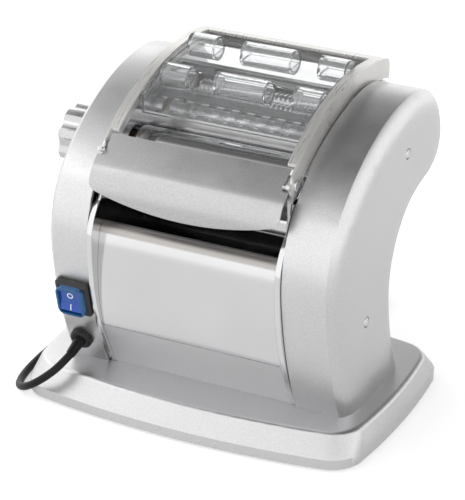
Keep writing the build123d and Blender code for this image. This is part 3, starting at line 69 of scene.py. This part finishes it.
# ---------------------------------------------------------------- camera
CAMERA_AZIMUTH = radians(26.596)            # to the right of straight ahead
CAMERA_ELEVATION = radians(25.885)
CAMERA_ROLL = radians(0.18)
CAMERA_DISTANCE = 1.8399
CAMERA_TARGET = Vector((-0.00077, BASE_Y, 0.11591))
CAMERA_LENS = 172.9                         # millimetres, and so is the sensor
SENSOR = 36.0
CLIP_END = 50


def make_camera():
    """Long lens from the front right, slightly above."""
    camera = add_object("camera", bpy.data.cameras.new("camera"))
    back = Vector((sin(CAMERA_AZIMUTH) * cos(CAMERA_ELEVATION),
                   -cos(CAMERA_AZIMUTH) * cos(CAMERA_ELEVATION), sin(CAMERA_ELEVATION)))
    camera.location = CAMERA_TARGET + back * CAMERA_DISTANCE
    camera.rotation_mode = "QUATERNION"
    turn = Matrix.Rotation(CAMERA_ROLL, 4, "Z").to_quaternion()
    camera.rotation_quaternion = (-back).to_track_quat("-Z", "Y") @ turn
    camera.data.lens = CAMERA_LENS
    camera.data.sensor_width = SENSOR
    camera.data.clip_end = CLIP_END
    bpy.context.scene.camera = camera


# ---------------------------------------------------------------- materials
NOISE_LOW, NOISE_HIGH = 0.3, 0.7            # the part of a noise that its results are spread over
RICH, MEDIUM, PLAIN = 3.0, 2.0, 1.0         # detail of a noise
EVEN = (1, 1, 1)                            # stretch of a noise that is the same all ways
FRONT_TO_BACK = (1, 0.05, 0.05)             # stretch of lines that run round the guard's arc
SIDE_TO_SIDE = (0.05, 1, 1)

# noise scales, about as many waves per metre
SATIN_GRAIN, SATIN_CLOUDS = 1500, 60
BRUSH_LINES = 900
POLISH_WAVES, POLISH_CLOUDS = 9, 90
MOULD_GRAIN, MOULD_CLOUDS = 2500, 90
FLOW_BANDS, FLOW_CLOUDS, FLOW_WAVES = 30, 400, 55

# height of the relief at full strength
SATIN_RELIEF = 0.06 * MM
BRUSH_RELIEF = 0.03 * MM
WAVE_RELIEF = 0.4 * MM
MOULD_RELIEF = 0.04 * MM
MOULD_BUMP = 0.15                           # strength of the moulded relief

# how far the roughness wanders from its level
SATIN_WANDER = (-0.03, 0.03)
BRUSH_WANDER = (-0.04, 0.05)
POLISH_WANDER = (0.0, 0.02)
MOULD_WANDER = (-0.04, 0.06)

ROLL_LOW, ROLL_HIGH = 0.1455, 0.1470        # heights where the front panel turns dull and takes a painted reflection of the dark surroundings
# painted reflection: the grey-brown tone of the rolled top edge stands in for the dark
# surroundings it reflects
ROLL_PAINTED_REFLECTION_TONE = (0.46, 0.44, 0.42, 1)
ROLL_ROUGH = 0.45
PLASTIC_IOR = 1.47
TINT_STEP = 0.01
COOLNESS = 1.01                             # the greys lean this much towards blue


def new_material(name):
    """Material, its node list, a function that links sockets, and its Principled shader."""
    material = bpy.data.materials.new(name)
    material.use_nodes = True
    nodes = material.node_tree.nodes
    return material, nodes, material.node_tree.links.new, nodes["Principled BSDF"]


def noise(nodes, link, scale, detail=MEDIUM, stretch=EVEN):
    """Noise in object space, stretched along the axes; returns its factor socket."""
    place = nodes.new("ShaderNodeTexCoord")
    mapping = nodes.new("ShaderNodeMapping")
    mapping.inputs["Scale"].default_value = stretch
    texture = nodes.new("ShaderNodeTexNoise")
    texture.inputs["Scale"].default_value = scale
    texture.inputs["Detail"].default_value = detail
    link(place.outputs["Object"], mapping.inputs["Vector"])
    link(mapping.outputs["Vector"], texture.inputs["Vector"])
    return texture.outputs["Fac"]


def vary_roughness(nodes, link, shader, factor, rough, wander):
    """Roughness that wanders around a level with a noise factor."""
    spread = nodes.new("ShaderNodeMapRange")
    spread.inputs["From Min"].default_value = NOISE_LOW
    spread.inputs["From Max"].default_value = NOISE_HIGH
    spread.inputs["To Min"].default_value = rough + wander[0]
    spread.inputs["To Max"].default_value = rough + wander[1]
    link(factor, spread.inputs["Value"])
    link(spread.outputs["Result"], shader.inputs["Roughness"])


def grey_mix(nodes, link, factor, dark, light):
    """Colour between two by a noise factor."""
    ramp = nodes.new("ShaderNodeValToRGB")
    ramp.color_ramp.elements[0].position = NOISE_LOW
    ramp.color_ramp.elements[0].color = (*dark, 1)
    ramp.color_ramp.elements[1].position = NOISE_HIGH
    ramp.color_ramp.elements[1].color = (*light, 1)
    link(factor, ramp.inputs["Fac"])
    return ramp.outputs["Color"]


def add_bump(nodes, link, shader, factor, strength, height):
    """Fine relief from a noise factor."""
    bump = nodes.new("ShaderNodeBump")
    bump.inputs["Strength"].default_value = strength
    bump.inputs["Distance"].default_value = height
    link(factor, bump.inputs["Height"])
    link(bump.outputs["Normal"], shader.inputs["Normal"])


def satin_metal(name, dark, light, rough, grain=SATIN_GRAIN, bump=0.25, metallic=1.0):
    """Bead-blasted or painted metal with a fine even grain."""
    material, nodes, link, shader = new_material(name)
    fine = noise(nodes, link, grain, RICH)
    link(grey_mix(nodes, link, fine, dark, light), shader.inputs["Base Color"])
    clouds = noise(nodes, link, SATIN_CLOUDS)
    vary_roughness(nodes, link, shader, clouds, rough, SATIN_WANDER)
    shader.inputs["Metallic"].default_value = metallic
    add_bump(nodes, link, shader, fine, bump, SATIN_RELIEF)
    return material


def brushed_metal(name, dark, light, rough, stretch, bump, metallic=1.0):
    """Sheet metal brushed along one direction."""
    material, nodes, link, shader = new_material(name)
    lines = noise(nodes, link, BRUSH_LINES, RICH, stretch)
    link(grey_mix(nodes, link, lines, dark, light), shader.inputs["Base Color"])
    vary_roughness(nodes, link, shader, lines, rough, BRUSH_WANDER)
    shader.inputs["Metallic"].default_value = metallic
    add_bump(nodes, link, shader, lines, bump, BRUSH_RELIEF)
    return material


def polished_metal(name, dark, light, rough, bump):
    """Mirror-finished metal with faint long waves."""
    material, nodes, link, shader = new_material(name)
    waves = noise(nodes, link, POLISH_WAVES)
    link(grey_mix(nodes, link, waves, dark, light), shader.inputs["Base Color"])
    clouds = noise(nodes, link, POLISH_CLOUDS)
    vary_roughness(nodes, link, shader, clouds, rough, POLISH_WANDER)
    shader.inputs["Metallic"].default_value = 1.0
    add_bump(nodes, link, shader, waves, bump, WAVE_RELIEF)
    return material


def rolled_panel(name, dark, light, rough):
    """Polished sheet whose rolled top edge, above a height, is left dull and darker: a grey-brown
    tone painted on as a reflection of the dark surroundings.
    """
    material, nodes, link, shader = new_material(name)
    place = nodes.new("ShaderNodeTexCoord")
    split = nodes.new("ShaderNodeSeparateXYZ")
    link(place.outputs["Object"], split.inputs["Vector"])
    rolled = nodes.new("ShaderNodeMapRange")
    rolled.inputs["From Min"].default_value = ROLL_LOW
    rolled.inputs["From Max"].default_value = ROLL_HIGH
    link(split.outputs["Z"], rolled.inputs["Value"])
    # painted reflection: above the heights the colour turns to the darker grey-brown tone
    tone = nodes.new("ShaderNodeMix")
    tone.data_type = "RGBA"
    link(rolled.outputs["Result"], tone.inputs["Factor"])
    waves = noise(nodes, link, POLISH_WAVES)
    link(grey_mix(nodes, link, waves, dark, light), tone.inputs["A"])
    tone.inputs["B"].default_value = ROLL_PAINTED_REFLECTION_TONE
    link(tone.outputs["Result"], shader.inputs["Base Color"])
    dull = nodes.new("ShaderNodeMapRange")
    dull.inputs["To Min"].default_value = rough
    dull.inputs["To Max"].default_value = ROLL_ROUGH
    link(rolled.outputs["Result"], dull.inputs["Value"])
    link(dull.outputs["Result"], shader.inputs["Roughness"])
    shader.inputs["Metallic"].default_value = 1.0
    return material


def moulded(name, dark, light, rough, grain=MOULD_GRAIN, coat=0.0, specular=0.5):
    """Opaque plastic or rubber with a fine moulded grain."""
    material, nodes, link, shader = new_material(name)
    fine = noise(nodes, link, grain)
    clouds = noise(nodes, link, MOULD_CLOUDS, RICH)
    link(grey_mix(nodes, link, clouds, dark, light), shader.inputs["Base Color"])
    vary_roughness(nodes, link, shader, fine, rough, MOULD_WANDER)
    shader.inputs["Coat Weight"].default_value = coat
    shader.inputs["Specular IOR Level"].default_value = specular
    add_bump(nodes, link, shader, fine, MOULD_BUMP, MOULD_RELIEF)
    return material


def clear(name, tint, rough, bump, weight):
    """Clear moulded plastic with faint flow waves; the weight is how much light goes through."""
    material, nodes, link, shader = new_material(name)
    lighter = tuple(min(1, channel + TINT_STEP) for channel in tint)
    bands = noise(nodes, link, FLOW_BANDS, PLAIN)
    link(grey_mix(nodes, link, bands, tint, lighter), shader.inputs["Base Color"])
    clouds = noise(nodes, link, FLOW_CLOUDS)
    vary_roughness(nodes, link, shader, clouds, rough, POLISH_WANDER)
    shader.inputs["Transmission Weight"].default_value = weight
    shader.inputs["IOR"].default_value = PLASTIC_IOR
    add_bump(nodes, link, shader, noise(nodes, link, FLOW_WAVES, PLAIN), bump, WAVE_RELIEF)
    return material


def grey(value):
    """Almost neutral colour."""
    return (value, value, value * COOLNESS)


# name, dark and light tone, roughness
HOUSING = satin_metal("housing_satin", grey(0.56), grey(0.72), 0.35, bump=0.22)
BASE = satin_metal("base_satin", grey(0.55), grey(0.69), 0.35, bump=0.2)
APRON = satin_metal("apron_satin", grey(0.42), grey(0.59), 0.36, grain=1700, bump=0.3)
KNOB = satin_metal("knob_satin", grey(0.50), grey(0.60), 0.20)
SKIRT = satin_metal("skirt_satin", grey(0.66), grey(0.76), 0.36, metallic=0.8)
MIRROR = polished_metal("mirror_steel", grey(0.64), grey(0.70), 0.08, bump=0.05)
PANEL = rolled_panel("panel_steel", grey(0.64), grey(0.70), 0.14)
EDGE_STEEL = polished_metal("edge_steel", grey(0.66), grey(0.74), 0.14, bump=0.02)
ROLLER = polished_metal("roller_steel", grey(0.62), grey(0.68), 0.07, bump=0.008)
CUTTER = polished_metal("cutter_steel", grey(0.66), grey(0.74), 0.16, bump=0.008)
COMB = moulded("comb_plastic", (0.035, 0.035, 0.036), (0.06, 0.06, 0.062), 0.4)
BRUSHED = brushed_metal("guard_steel", (0.66, 0.65, 0.63), (0.76, 0.75, 0.73), 0.30,
                        FRONT_TO_BACK, bump=0.1, metallic=0.6)
GUIDE = brushed_metal("guide_steel", grey(0.44), grey(0.54), 0.18, SIDE_TO_SIDE, bump=0.05)
GEAR = satin_metal("gear_steel", grey(0.30), grey(0.42), 0.34, grain=900)
BRONZE = satin_metal("sintered_bronze", (0.36, 0.24, 0.12), (0.50, 0.34, 0.18), 0.42, grain=1200)
MOTOR = satin_metal("motor_can", grey(0.16), grey(0.22), 0.40)
CLEAR = clear("clear_cover", (0.97, 0.98, 0.985), 0.01, bump=0.008, weight=0.90)
BOOT = clear("blue_boot", (0.014, 0.11, 0.30), 0.14, bump=0.02, weight=0.22)
ROCKER = moulded("blue_rocker", (0.008, 0.065, 0.34), (0.010, 0.085, 0.42), 0.28, coat=0.3)
BLACK = moulded("black_plastic", (0.006, 0.006, 0.007), (0.012, 0.012, 0.013), 0.40, specular=0.3)
BEZEL = moulded("bezel_plastic", (0.018, 0.019, 0.018), (0.030, 0.031, 0.029), 0.32,
                specular=0.35)
SHEATH = moulded("cord_sheath", (0.004, 0.004, 0.004), (0.008, 0.008, 0.009), 0.42,
                 grain=1600, specular=0.22)
RUBBER = moulded("foot_rubber", (0.02, 0.02, 0.02), (0.03, 0.03, 0.03), 0.62)
WHITE = moulded("white_plastic", (0.78, 0.78, 0.77), (0.84, 0.84, 0.83), 0.30)
MARK = moulded("switch_marks", (0.86, 0.90, 0.95), (0.92, 0.95, 0.98), 0.40)

NODE_MATERIALS = {
    BASE: ("base", "floor_plate"),
    HOUSING: ("housing_left", "housing_right"),
    APRON: ("apron",),
    PANEL: ("front_panel",),
    MIRROR: ("exit_chute",),
    SKIRT: ("front_skirt",),
    EDGE_STEEL: ("side_plate_left", "side_plate_right", "rear_panel_lower", "guard_pivot_screws",
                 "guard_screws", "housing_screws"),
    ROLLER: ("smooth_roller_front", "smooth_roller_rear"),
    CUTTER: ("wide_cutter_front", "wide_cutter_rear", "fine_cutter_front", "fine_cutter_rear"),
    BRUSHED: ("guard_frame",),
    GUIDE: ("guard_brackets", "feed_guides", "rear_panel_upper"),
    GEAR: ("smooth_drive_gears", "smooth_sync_gear_front", "smooth_sync_gear_rear",
           "wide_drive_gear", "wide_sync_gear_front", "wide_sync_gear_rear",
           "wide_transfer_gear", "fine_transfer_gear", "fine_sync_gear_front",
           "fine_sync_gear_rear", "reduction_gear", "motor_pinion", "motor_shaft",
           "reduction_stud", "knob_shaft", "carriage_arms", "carriage_tie_bar", "tie_rods",
           "housing_pillars"),
    BRONZE: ("roller_bushes", "carriage_bushes"),
    MOTOR: ("motor",),
    CLEAR: ("guard_cover",),
    KNOB: ("knob",),
    BOOT: ("switch_boot",),
    ROCKER: ("switch_rocker",),
    BEZEL: ("switch_bezel",),
    BLACK: ("cord_gland", "plug"),
    SHEATH: ("strain_relief", "power_cord", "cord_coil"),
    RUBBER: ("rubber_feet",),
    WHITE: ("apron_pins",),
    COMB: ("cutter_combs",),
}

# ---------------------------------------------------------------- edges
WELD_DISTANCE = 0.02 * MM
BEVEL_SEGMENTS = 2
SHARP_ANGLE = radians(32)                   # edges that turn more than this are rounded
DEFAULT_EDGE = 0.0002
EDGE_WIDTHS = {
    "apron": 0.0004, "base": 0.0030, "cord_gland": 0.0003, "front_panel": 0.0003,
    "guard_cover": 0.0004, "guard_frame": 0.0007, "knob": 0.0012, "plug": 0.0012,
    "side_plate_left": 0.0006, "side_plate_right": 0.0006, "switch_bezel": 0.0005,
    "switch_boot": 0.0004, "switch_rocker": 0.0006,
}


def paint(piece, material):
    """Give a piece one material in all its slots."""
    if piece.material_slots:
        for slot in piece.material_slots:
            slot.material = material
    else:
        piece.data.materials.append(material)


def soften(piece, width):
    """Weld the facets, round the sharp edges by a width and shade the rest smooth."""
    piece.data.shade_smooth()
    weld = piece.modifiers.new("weld", "WELD")
    weld.merge_threshold = WELD_DISTANCE
    if width:
        bevel = piece.modifiers.new("bevel", "BEVEL")
        bevel.width = width
        bevel.segments = BEVEL_SEGMENTS
        bevel.limit_method = "ANGLE"
        bevel.angle_limit = SHARP_ANGLE
        bevel.harden_normals = False
    weighted = piece.modifiers.new("normals", "WEIGHTED_NORMAL")
    weighted.keep_sharp = True


def dress_nodes():
    """Materials and softened edges for every CAD node."""
    for material, names in NODE_MATERIALS.items():
        for name in names:
            paint(NODES[name], material)
            soften(NODES[name], EDGE_WIDTHS.get(name, DEFAULT_EDGE))


# ---------------------------------------------------------------- cord
CORD_RADIUS = 3.1 * MM
CORD_ORDER = 3                              # of the curve, which is smooth in its direction
CORD_STEPS = 6                              # between two of its points
CORD_ROUNDNESS = 5
LYING = CORD_RADIUS                         # height of the cord's middle on the table
ROUTE = [                                   # from the exit round the left side to the coil
    (-0.0988, -0.0913, 0.0406), (-0.1028, -0.1016, 0.0340), (-0.1105, -0.1091, 0.0270),
    (-0.1210, -0.1114, 0.0189), (-0.1320, -0.1076, 0.0119), (-0.1420, -0.0979, 0.0063),
    (-0.1490, -0.0838, 0.0036), (-0.1530, -0.0628, LYING), (-0.1545, -0.0358, LYING),
    (-0.1540, -0.0048, LYING), (-0.1530, 0.0262, LYING), (-0.1505, 0.0562, LYING),
    (-0.1430, 0.0802, LYING), (-0.1275, 0.0972, LYING), (-0.1060, 0.1062, LYING),
    (-0.0840, 0.1097, LYING),
]
COIL_CENTRE = (-0.060, 0.1472)
COIL_MIDDLE = 0.036                         # radius of the middle one of three rings
PITCH = 2 * CORD_RADIUS + 0.0002            # between rings and between layers
COIL_POINTS = 18                            # per turn
COIL_START = -104                           # degrees, where the cord joins the outermost ring
COIL_TURNS = 5.14
CLIMB = 2                                   # ring changes before the one to the upper layer
STEP_SHARE = 0.22                           # part of a turn in which the cord changes rings
TAIL_TURN = 40                              # degrees, the way the tail and the plug point
PLUG_AXIS_Z = 0.008
TAIL = ((0.008, 0.0088), (0.016, PLUG_AXIS_Z), (0.025, PLUG_AXIS_Z))    # distance, height
PLUG_BACK = 0.006                           # the plug is this much nearer the coil than its solid


def ring_step(turns):
    """Ring changes made after a number of turns, each within the end of its turn."""
    whole = int(turns)
    part = max(0.0, (turns - whole - (1 - STEP_SHARE)) / STEP_SHARE)
    return whole + part * part * (3 - 2 * part)


def coil_points():
    """Three rings inward on the table, up a layer, then outward again on top of them."""
    points = []
    swell = 1 / cos(pi / COIL_POINTS)       # the curve runs this much inside its points
    for k in range(int(COIL_TURNS * COIL_POINTS) + 1):
        turns = k / COIL_POINTS
        angle = radians(COIL_START + 360 * turns)
        step = ring_step(turns)
        ring = 1 - min(step, CLIMB) + max(step - CLIMB - 1, 0)
        layer = min(max(step - CLIMB, 0), 1)
        radius = (COIL_MIDDLE + ring * PITCH) * swell
        points.append((COIL_CENTRE[0] + radius * cos(angle),
                       COIL_CENTRE[1] + radius * sin(angle), LYING + layer * PITCH))
    return points


def tail_points():
    """Straight out of the uppermost turn to the plug."""
    heading = (cos(radians(TAIL_TURN)), sin(radians(TAIL_TURN)))
    leaving = radians(TAIL_TURN - 90)
    start = (COIL_CENTRE[0] + (COIL_MIDDLE + PITCH) * cos(leaving),
             COIL_CENTRE[1] + (COIL_MIDDLE + PITCH) * sin(leaving))
    return [(start[0] + heading[0] * distance, start[1] + heading[1] * distance, height)
            for distance, height in TAIL]


def make_cord():
    """The whole lead on one NURBS spline: the free run, the put-away coil and the tail."""
    curve = bpy.data.curves.new("mains_lead", "CURVE")
    curve.dimensions = "3D"
    points = ROUTE + coil_points() + tail_points()
    spline = curve.splines.new("NURBS")
    spline.points.add(len(points) - 1)
    for point, place in zip(spline.points, points):
        point.co = (*place, 1)
    spline.order_u = CORD_ORDER
    spline.use_endpoint_u = True
    spline.resolution_u = CORD_STEPS
    curve.bevel_depth = CORD_RADIUS
    curve.bevel_resolution = CORD_ROUNDNESS
    curve.use_fill_caps = True
    lead = add_object("mains_lead", curve)
    curve.materials.append(SHEATH)
    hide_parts("power_cord", "cord_coil")
    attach(lead, "body")


def make_plug():
    """The plug with rounded edges, close up to the coil."""
    mesh = NODES["plug"].data.copy()
    step = Vector((cos(radians(TAIL_TURN)), sin(radians(TAIL_TURN)), 0)) * PLUG_BACK
    place = NODES["plug"].matrix_world
    for vertex in mesh.vertices:
        vertex.co = place @ vertex.co - step
    plug = add_object("mains_plug", mesh)
    paint(plug, BLACK)
    soften(plug, EDGE_WIDTHS["plug"])
    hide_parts("plug")
    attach(plug, "body")


# ---------------------------------------------------------------- marks and cutter rings
def new_piece(name, bm, material, body):
    """Object from a bmesh, with one material, carried by a body of the model."""
    piece = add_mesh(name, bm)
    piece.data.materials.append(material)
    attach(piece, body)
    return piece


SWITCH_CENTRE = Vector((-0.0954, -0.08596, 0.090))
SWITCH_TILT = radians(12.913)
SWITCH_UP = Vector((0, -sin(SWITCH_TILT), cos(SWITCH_TILT)))
SWITCH_OUT = Vector((0, -cos(SWITCH_TILT), -sin(SWITCH_TILT)))
MARK_RAISE = 0.08 * MM
MARK_THICK = 0.15 * MM
MARK_HALF = 2.5 * MM                        # half the height of a mark
MARK_STROKE = 0.75 * MM
MARK_SIDES = 40                             # of the ring
OFF_FACE = (5.2 * MM, 7.33 * MM, 0)         # up and out of the switch's middle, and lean
ON_FACE = (-4.6 * MM, 8.93 * MM, radians(16))


def mark_place(up, out, lean):
    """Matrix of a mark that lies on a face of the rocker."""
    along = SWITCH_UP * cos(lean) - SWITCH_OUT * sin(lean)
    normal = SWITCH_OUT * cos(lean) + SWITCH_UP * sin(lean)
    across = along.cross(normal)
    matrix = Matrix((across, along, normal)).transposed().to_4x4()
    matrix.translation = SWITCH_CENTRE + SWITCH_UP * up + SWITCH_OUT * out + normal * MARK_RAISE
    return matrix


def make_marks():
    """The ring and the bar of the switch, as thin raised print on the rocker's two faces."""
    bm = bmesh.new()
    hole = MARK_HALF - MARK_STROKE
    angles = [2 * pi * k / MARK_SIDES for k in range(MARK_SIDES)]
    rows = []
    for radius, height in ((MARK_HALF, 0), (MARK_HALF, MARK_THICK), (hole, MARK_THICK), (hole, 0)):
        rows.append([bm.verts.new((radius * cos(angle), radius * sin(angle), height))
                     for angle in angles])
    for low, high in zip(rows, rows[1:] + rows[:1]):
        for k in range(MARK_SIDES):
            bm.faces.new((low[k - 1], low[k], high[k], high[k - 1]))
    bm.transform(mark_place(*OFF_FACE))
    new_piece("mark_off", bm, MARK, "switch")
    bm = bmesh.new()
    bar = Matrix.Diagonal((MARK_STROKE, 2 * MARK_HALF, MARK_THICK, 1))
    bmesh.ops.create_cube(bm, size=1, matrix=bar)
    bm.transform(mark_place(*ON_FACE))
    new_piece("mark_on", bm, MARK, "switch")


RING_OUTER = 9.1 * MM
RING_INNER = 8.2 * MM
RING_PITCH = 4.0 * MM
RING_HALF = 0.95 * MM                       # half the width of a ring
RING_SIDES = 48
CUTTER_HALF = 72.5 * MM
JOURNAL = 3.5 * MM
DOUBLE = 1e-6                               # points on the axis closer than this become one
FRONT_FIRST = RING_PITCH / 4                # from the cutter's end to its first ring's middle;
REAR_FIRST = 3 * RING_PITCH / 4             # the rings of the pair stand half a pitch apart


def make_ringed_cutter(node, body, first):
    """Fine cutter with its row of narrow rings, on the journals of the plain one."""
    low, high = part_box(node)
    centre = (low + high) / 2
    profile = [(low.x, 0), (low.x, JOURNAL), (-CUTTER_HALF, JOURNAL), (-CUTTER_HALF, RING_INNER)]
    middle = -CUTTER_HALF + first
    while middle + RING_HALF < CUTTER_HALF:
        profile += [(middle - RING_HALF, RING_INNER), (middle - RING_HALF, RING_OUTER),
                    (middle + RING_HALF, RING_OUTER), (middle + RING_HALF, RING_INNER)]
        middle += RING_PITCH
    profile += [(CUTTER_HALF, RING_INNER), (CUTTER_HALF, JOURNAL), (high.x, JOURNAL), (high.x, 0)]
    bm = bmesh.new()
    outlines = []
    for k in range(RING_SIDES):
        angle = 2 * pi * k / RING_SIDES
        outlines.append([bm.verts.new((x, centre.y + r * cos(angle), centre.z + r * sin(angle)))
                         for x, r in profile])
    for k in range(RING_SIDES):
        here, after = outlines[k - 1], outlines[k]
        for j in range(len(profile) - 1):
            bm.faces.new((here[j], after[j], after[j + 1], here[j + 1]))
    bmesh.ops.remove_doubles(bm, verts=bm.verts, dist=DOUBLE)
    bmesh.ops.recalc_face_normals(bm, faces=bm.faces)
    piece = new_piece(node + "_rings", bm, CUTTER, body)
    soften(piece, 0.0)
    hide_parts(node)


# ---------------------------------------------------------------- stage and light
FLOOR_HALF = 1.1
FLOOR_TONE = (0.86, 0.86, 0.86, 1)
FLOOR_ROUGH = 0.9
FLOOR_LIFTS = (   # rays that see the floor brighter than its light makes it
    ("Is Camera Ray", 0.45), ("Is Transmission Ray", 0.45), ("Is Glossy Ray", 0.20),
)
LAMPS = (   # name, size, place, target, power
    ("left_box", (1.0, 1.8), (-1.1, 0.9, 0.95), (-1.1, 0.9, 0.0), 8),
    ("front_left_box", (0.9, 0.75), (-0.92, -0.33, 0.95), (-0.92, -0.33, 0.0), 2.1),
)
SKY_STOPS = (   # share of the way from SKY_LOW to SKY_HIGH, brightness
    (0.0, 1.0), (0.70, 1.0), (0.74, 0.85), (0.785, 0.35), (0.83, 0.13), (1.0, 0.07),
)
SKY_LOW, SKY_HIGH = -1.0, 1.2
SKY_STRENGTH = 1.35
SKY_LEAN = 0.35                             # the dark part reaches lower behind the object
WHITE_LIGHT = (1, 1, 1, 1)


def make_lamp(name, size, place, target, power):
    """Soft rectangular area lamp aimed at a point."""
    lamp = bpy.data.lights.new(name, "AREA")
    lamp.shape = "RECTANGLE"
    lamp.size, lamp.size_y = size
    lamp.energy = power
    holder = add_object(name, lamp)
    holder.location = place
    aim = Vector(target) - Vector(place)
    holder.rotation_euler = aim.to_track_quat("-Z", "Y").to_euler()


def make_floor():
    """White table that shows the object's shadow and stays white where the camera sees it bare."""
    bm = bmesh.new()
    bmesh.ops.create_grid(bm, x_segments=1, y_segments=1, size=FLOOR_HALF)
    floor = add_mesh("floor", bm)
    material, nodes, link, shader = new_material("floor_white")
    shader.inputs["Base Color"].default_value = FLOOR_TONE
    shader.inputs["Roughness"].default_value = FLOOR_ROUGH
    path = nodes.new("ShaderNodeLightPath")
    lifts = []
    for kind, level in FLOOR_LIFTS:
        lift = nodes.new("ShaderNodeMath")
        lift.operation = "MULTIPLY"
        lift.inputs[1].default_value = level
        link(path.outputs[kind], lift.inputs[0])
        lifts.append(lift.outputs["Value"])
    highest = lifts[0]
    for lift in lifts[1:]:
        either = nodes.new("ShaderNodeMath")
        either.operation = "MAXIMUM"
        link(highest, either.inputs[0])
        link(lift, either.inputs[1])
        highest = either.outputs["Value"]
    shader.inputs["Emission Color"].default_value = WHITE_LIGHT
    link(highest, shader.inputs["Emission Strength"])
    floor.data.materials.append(material)


def make_world():
    """White for the camera, and for the object a room that is bright low down and dark above."""
    world = bpy.data.worlds.new("studio")
    bpy.context.scene.world = world
    world.use_nodes = True
    nodes = world.node_tree.nodes
    link = world.node_tree.links.new
    place = nodes.new("ShaderNodeTexCoord")
    split = nodes.new("ShaderNodeSeparateXYZ")
    link(place.outputs["Generated"], split.inputs["Vector"])
    lean = nodes.new("ShaderNodeMath")
    lean.operation = "MULTIPLY_ADD"
    lean.inputs[1].default_value = SKY_LEAN
    link(split.outputs["Y"], lean.inputs[0])
    link(split.outputs["Z"], lean.inputs[2])
    height = nodes.new("ShaderNodeMapRange")
    height.inputs["From Min"].default_value = SKY_LOW
    height.inputs["From Max"].default_value = SKY_HIGH
    link(lean.outputs["Value"], height.inputs["Value"])
    ramp = nodes.new("ShaderNodeValToRGB")
    ramp.color_ramp.interpolation = "EASE"
    while len(ramp.color_ramp.elements) < len(SKY_STOPS):
        ramp.color_ramp.elements.new(0.5)   # placed below
    for element, (stop, level) in zip(ramp.color_ramp.elements, SKY_STOPS):
        element.position = stop
        element.color = (level, level, level, 1)
    link(height.outputs["Result"], ramp.inputs["Fac"])
    gain = nodes.new("ShaderNodeVectorMath")
    gain.operation = "SCALE"
    link(ramp.outputs["Color"], gain.inputs[0])
    gain.inputs["Scale"].default_value = SKY_STRENGTH
    path = nodes.new("ShaderNodeLightPath")
    mix = nodes.new("ShaderNodeMix")
    mix.data_type = "RGBA"
    link(path.outputs["Is Camera Ray"], mix.inputs["Factor"])
    link(gain.outputs["Vector"], mix.inputs["A"])
    mix.inputs["B"].default_value = WHITE_LIGHT
    link(mix.outputs["Result"], nodes["Background"].inputs["Color"])


# ---------------------------------------------------------------- assembly
make_camera()
make_plug()
make_cord()
dress_nodes()
make_marks()
make_ringed_cutter("fine_cutter_front", "fine_front", FRONT_FIRST)
make_ringed_cutter("fine_cutter_rear", "fine_rear", REAR_FIRST)
make_floor()
make_world()
for lamp in LAMPS:
    make_lamp(*lamp)
bpy.context.scene.view_settings.view_transform = "Standard"
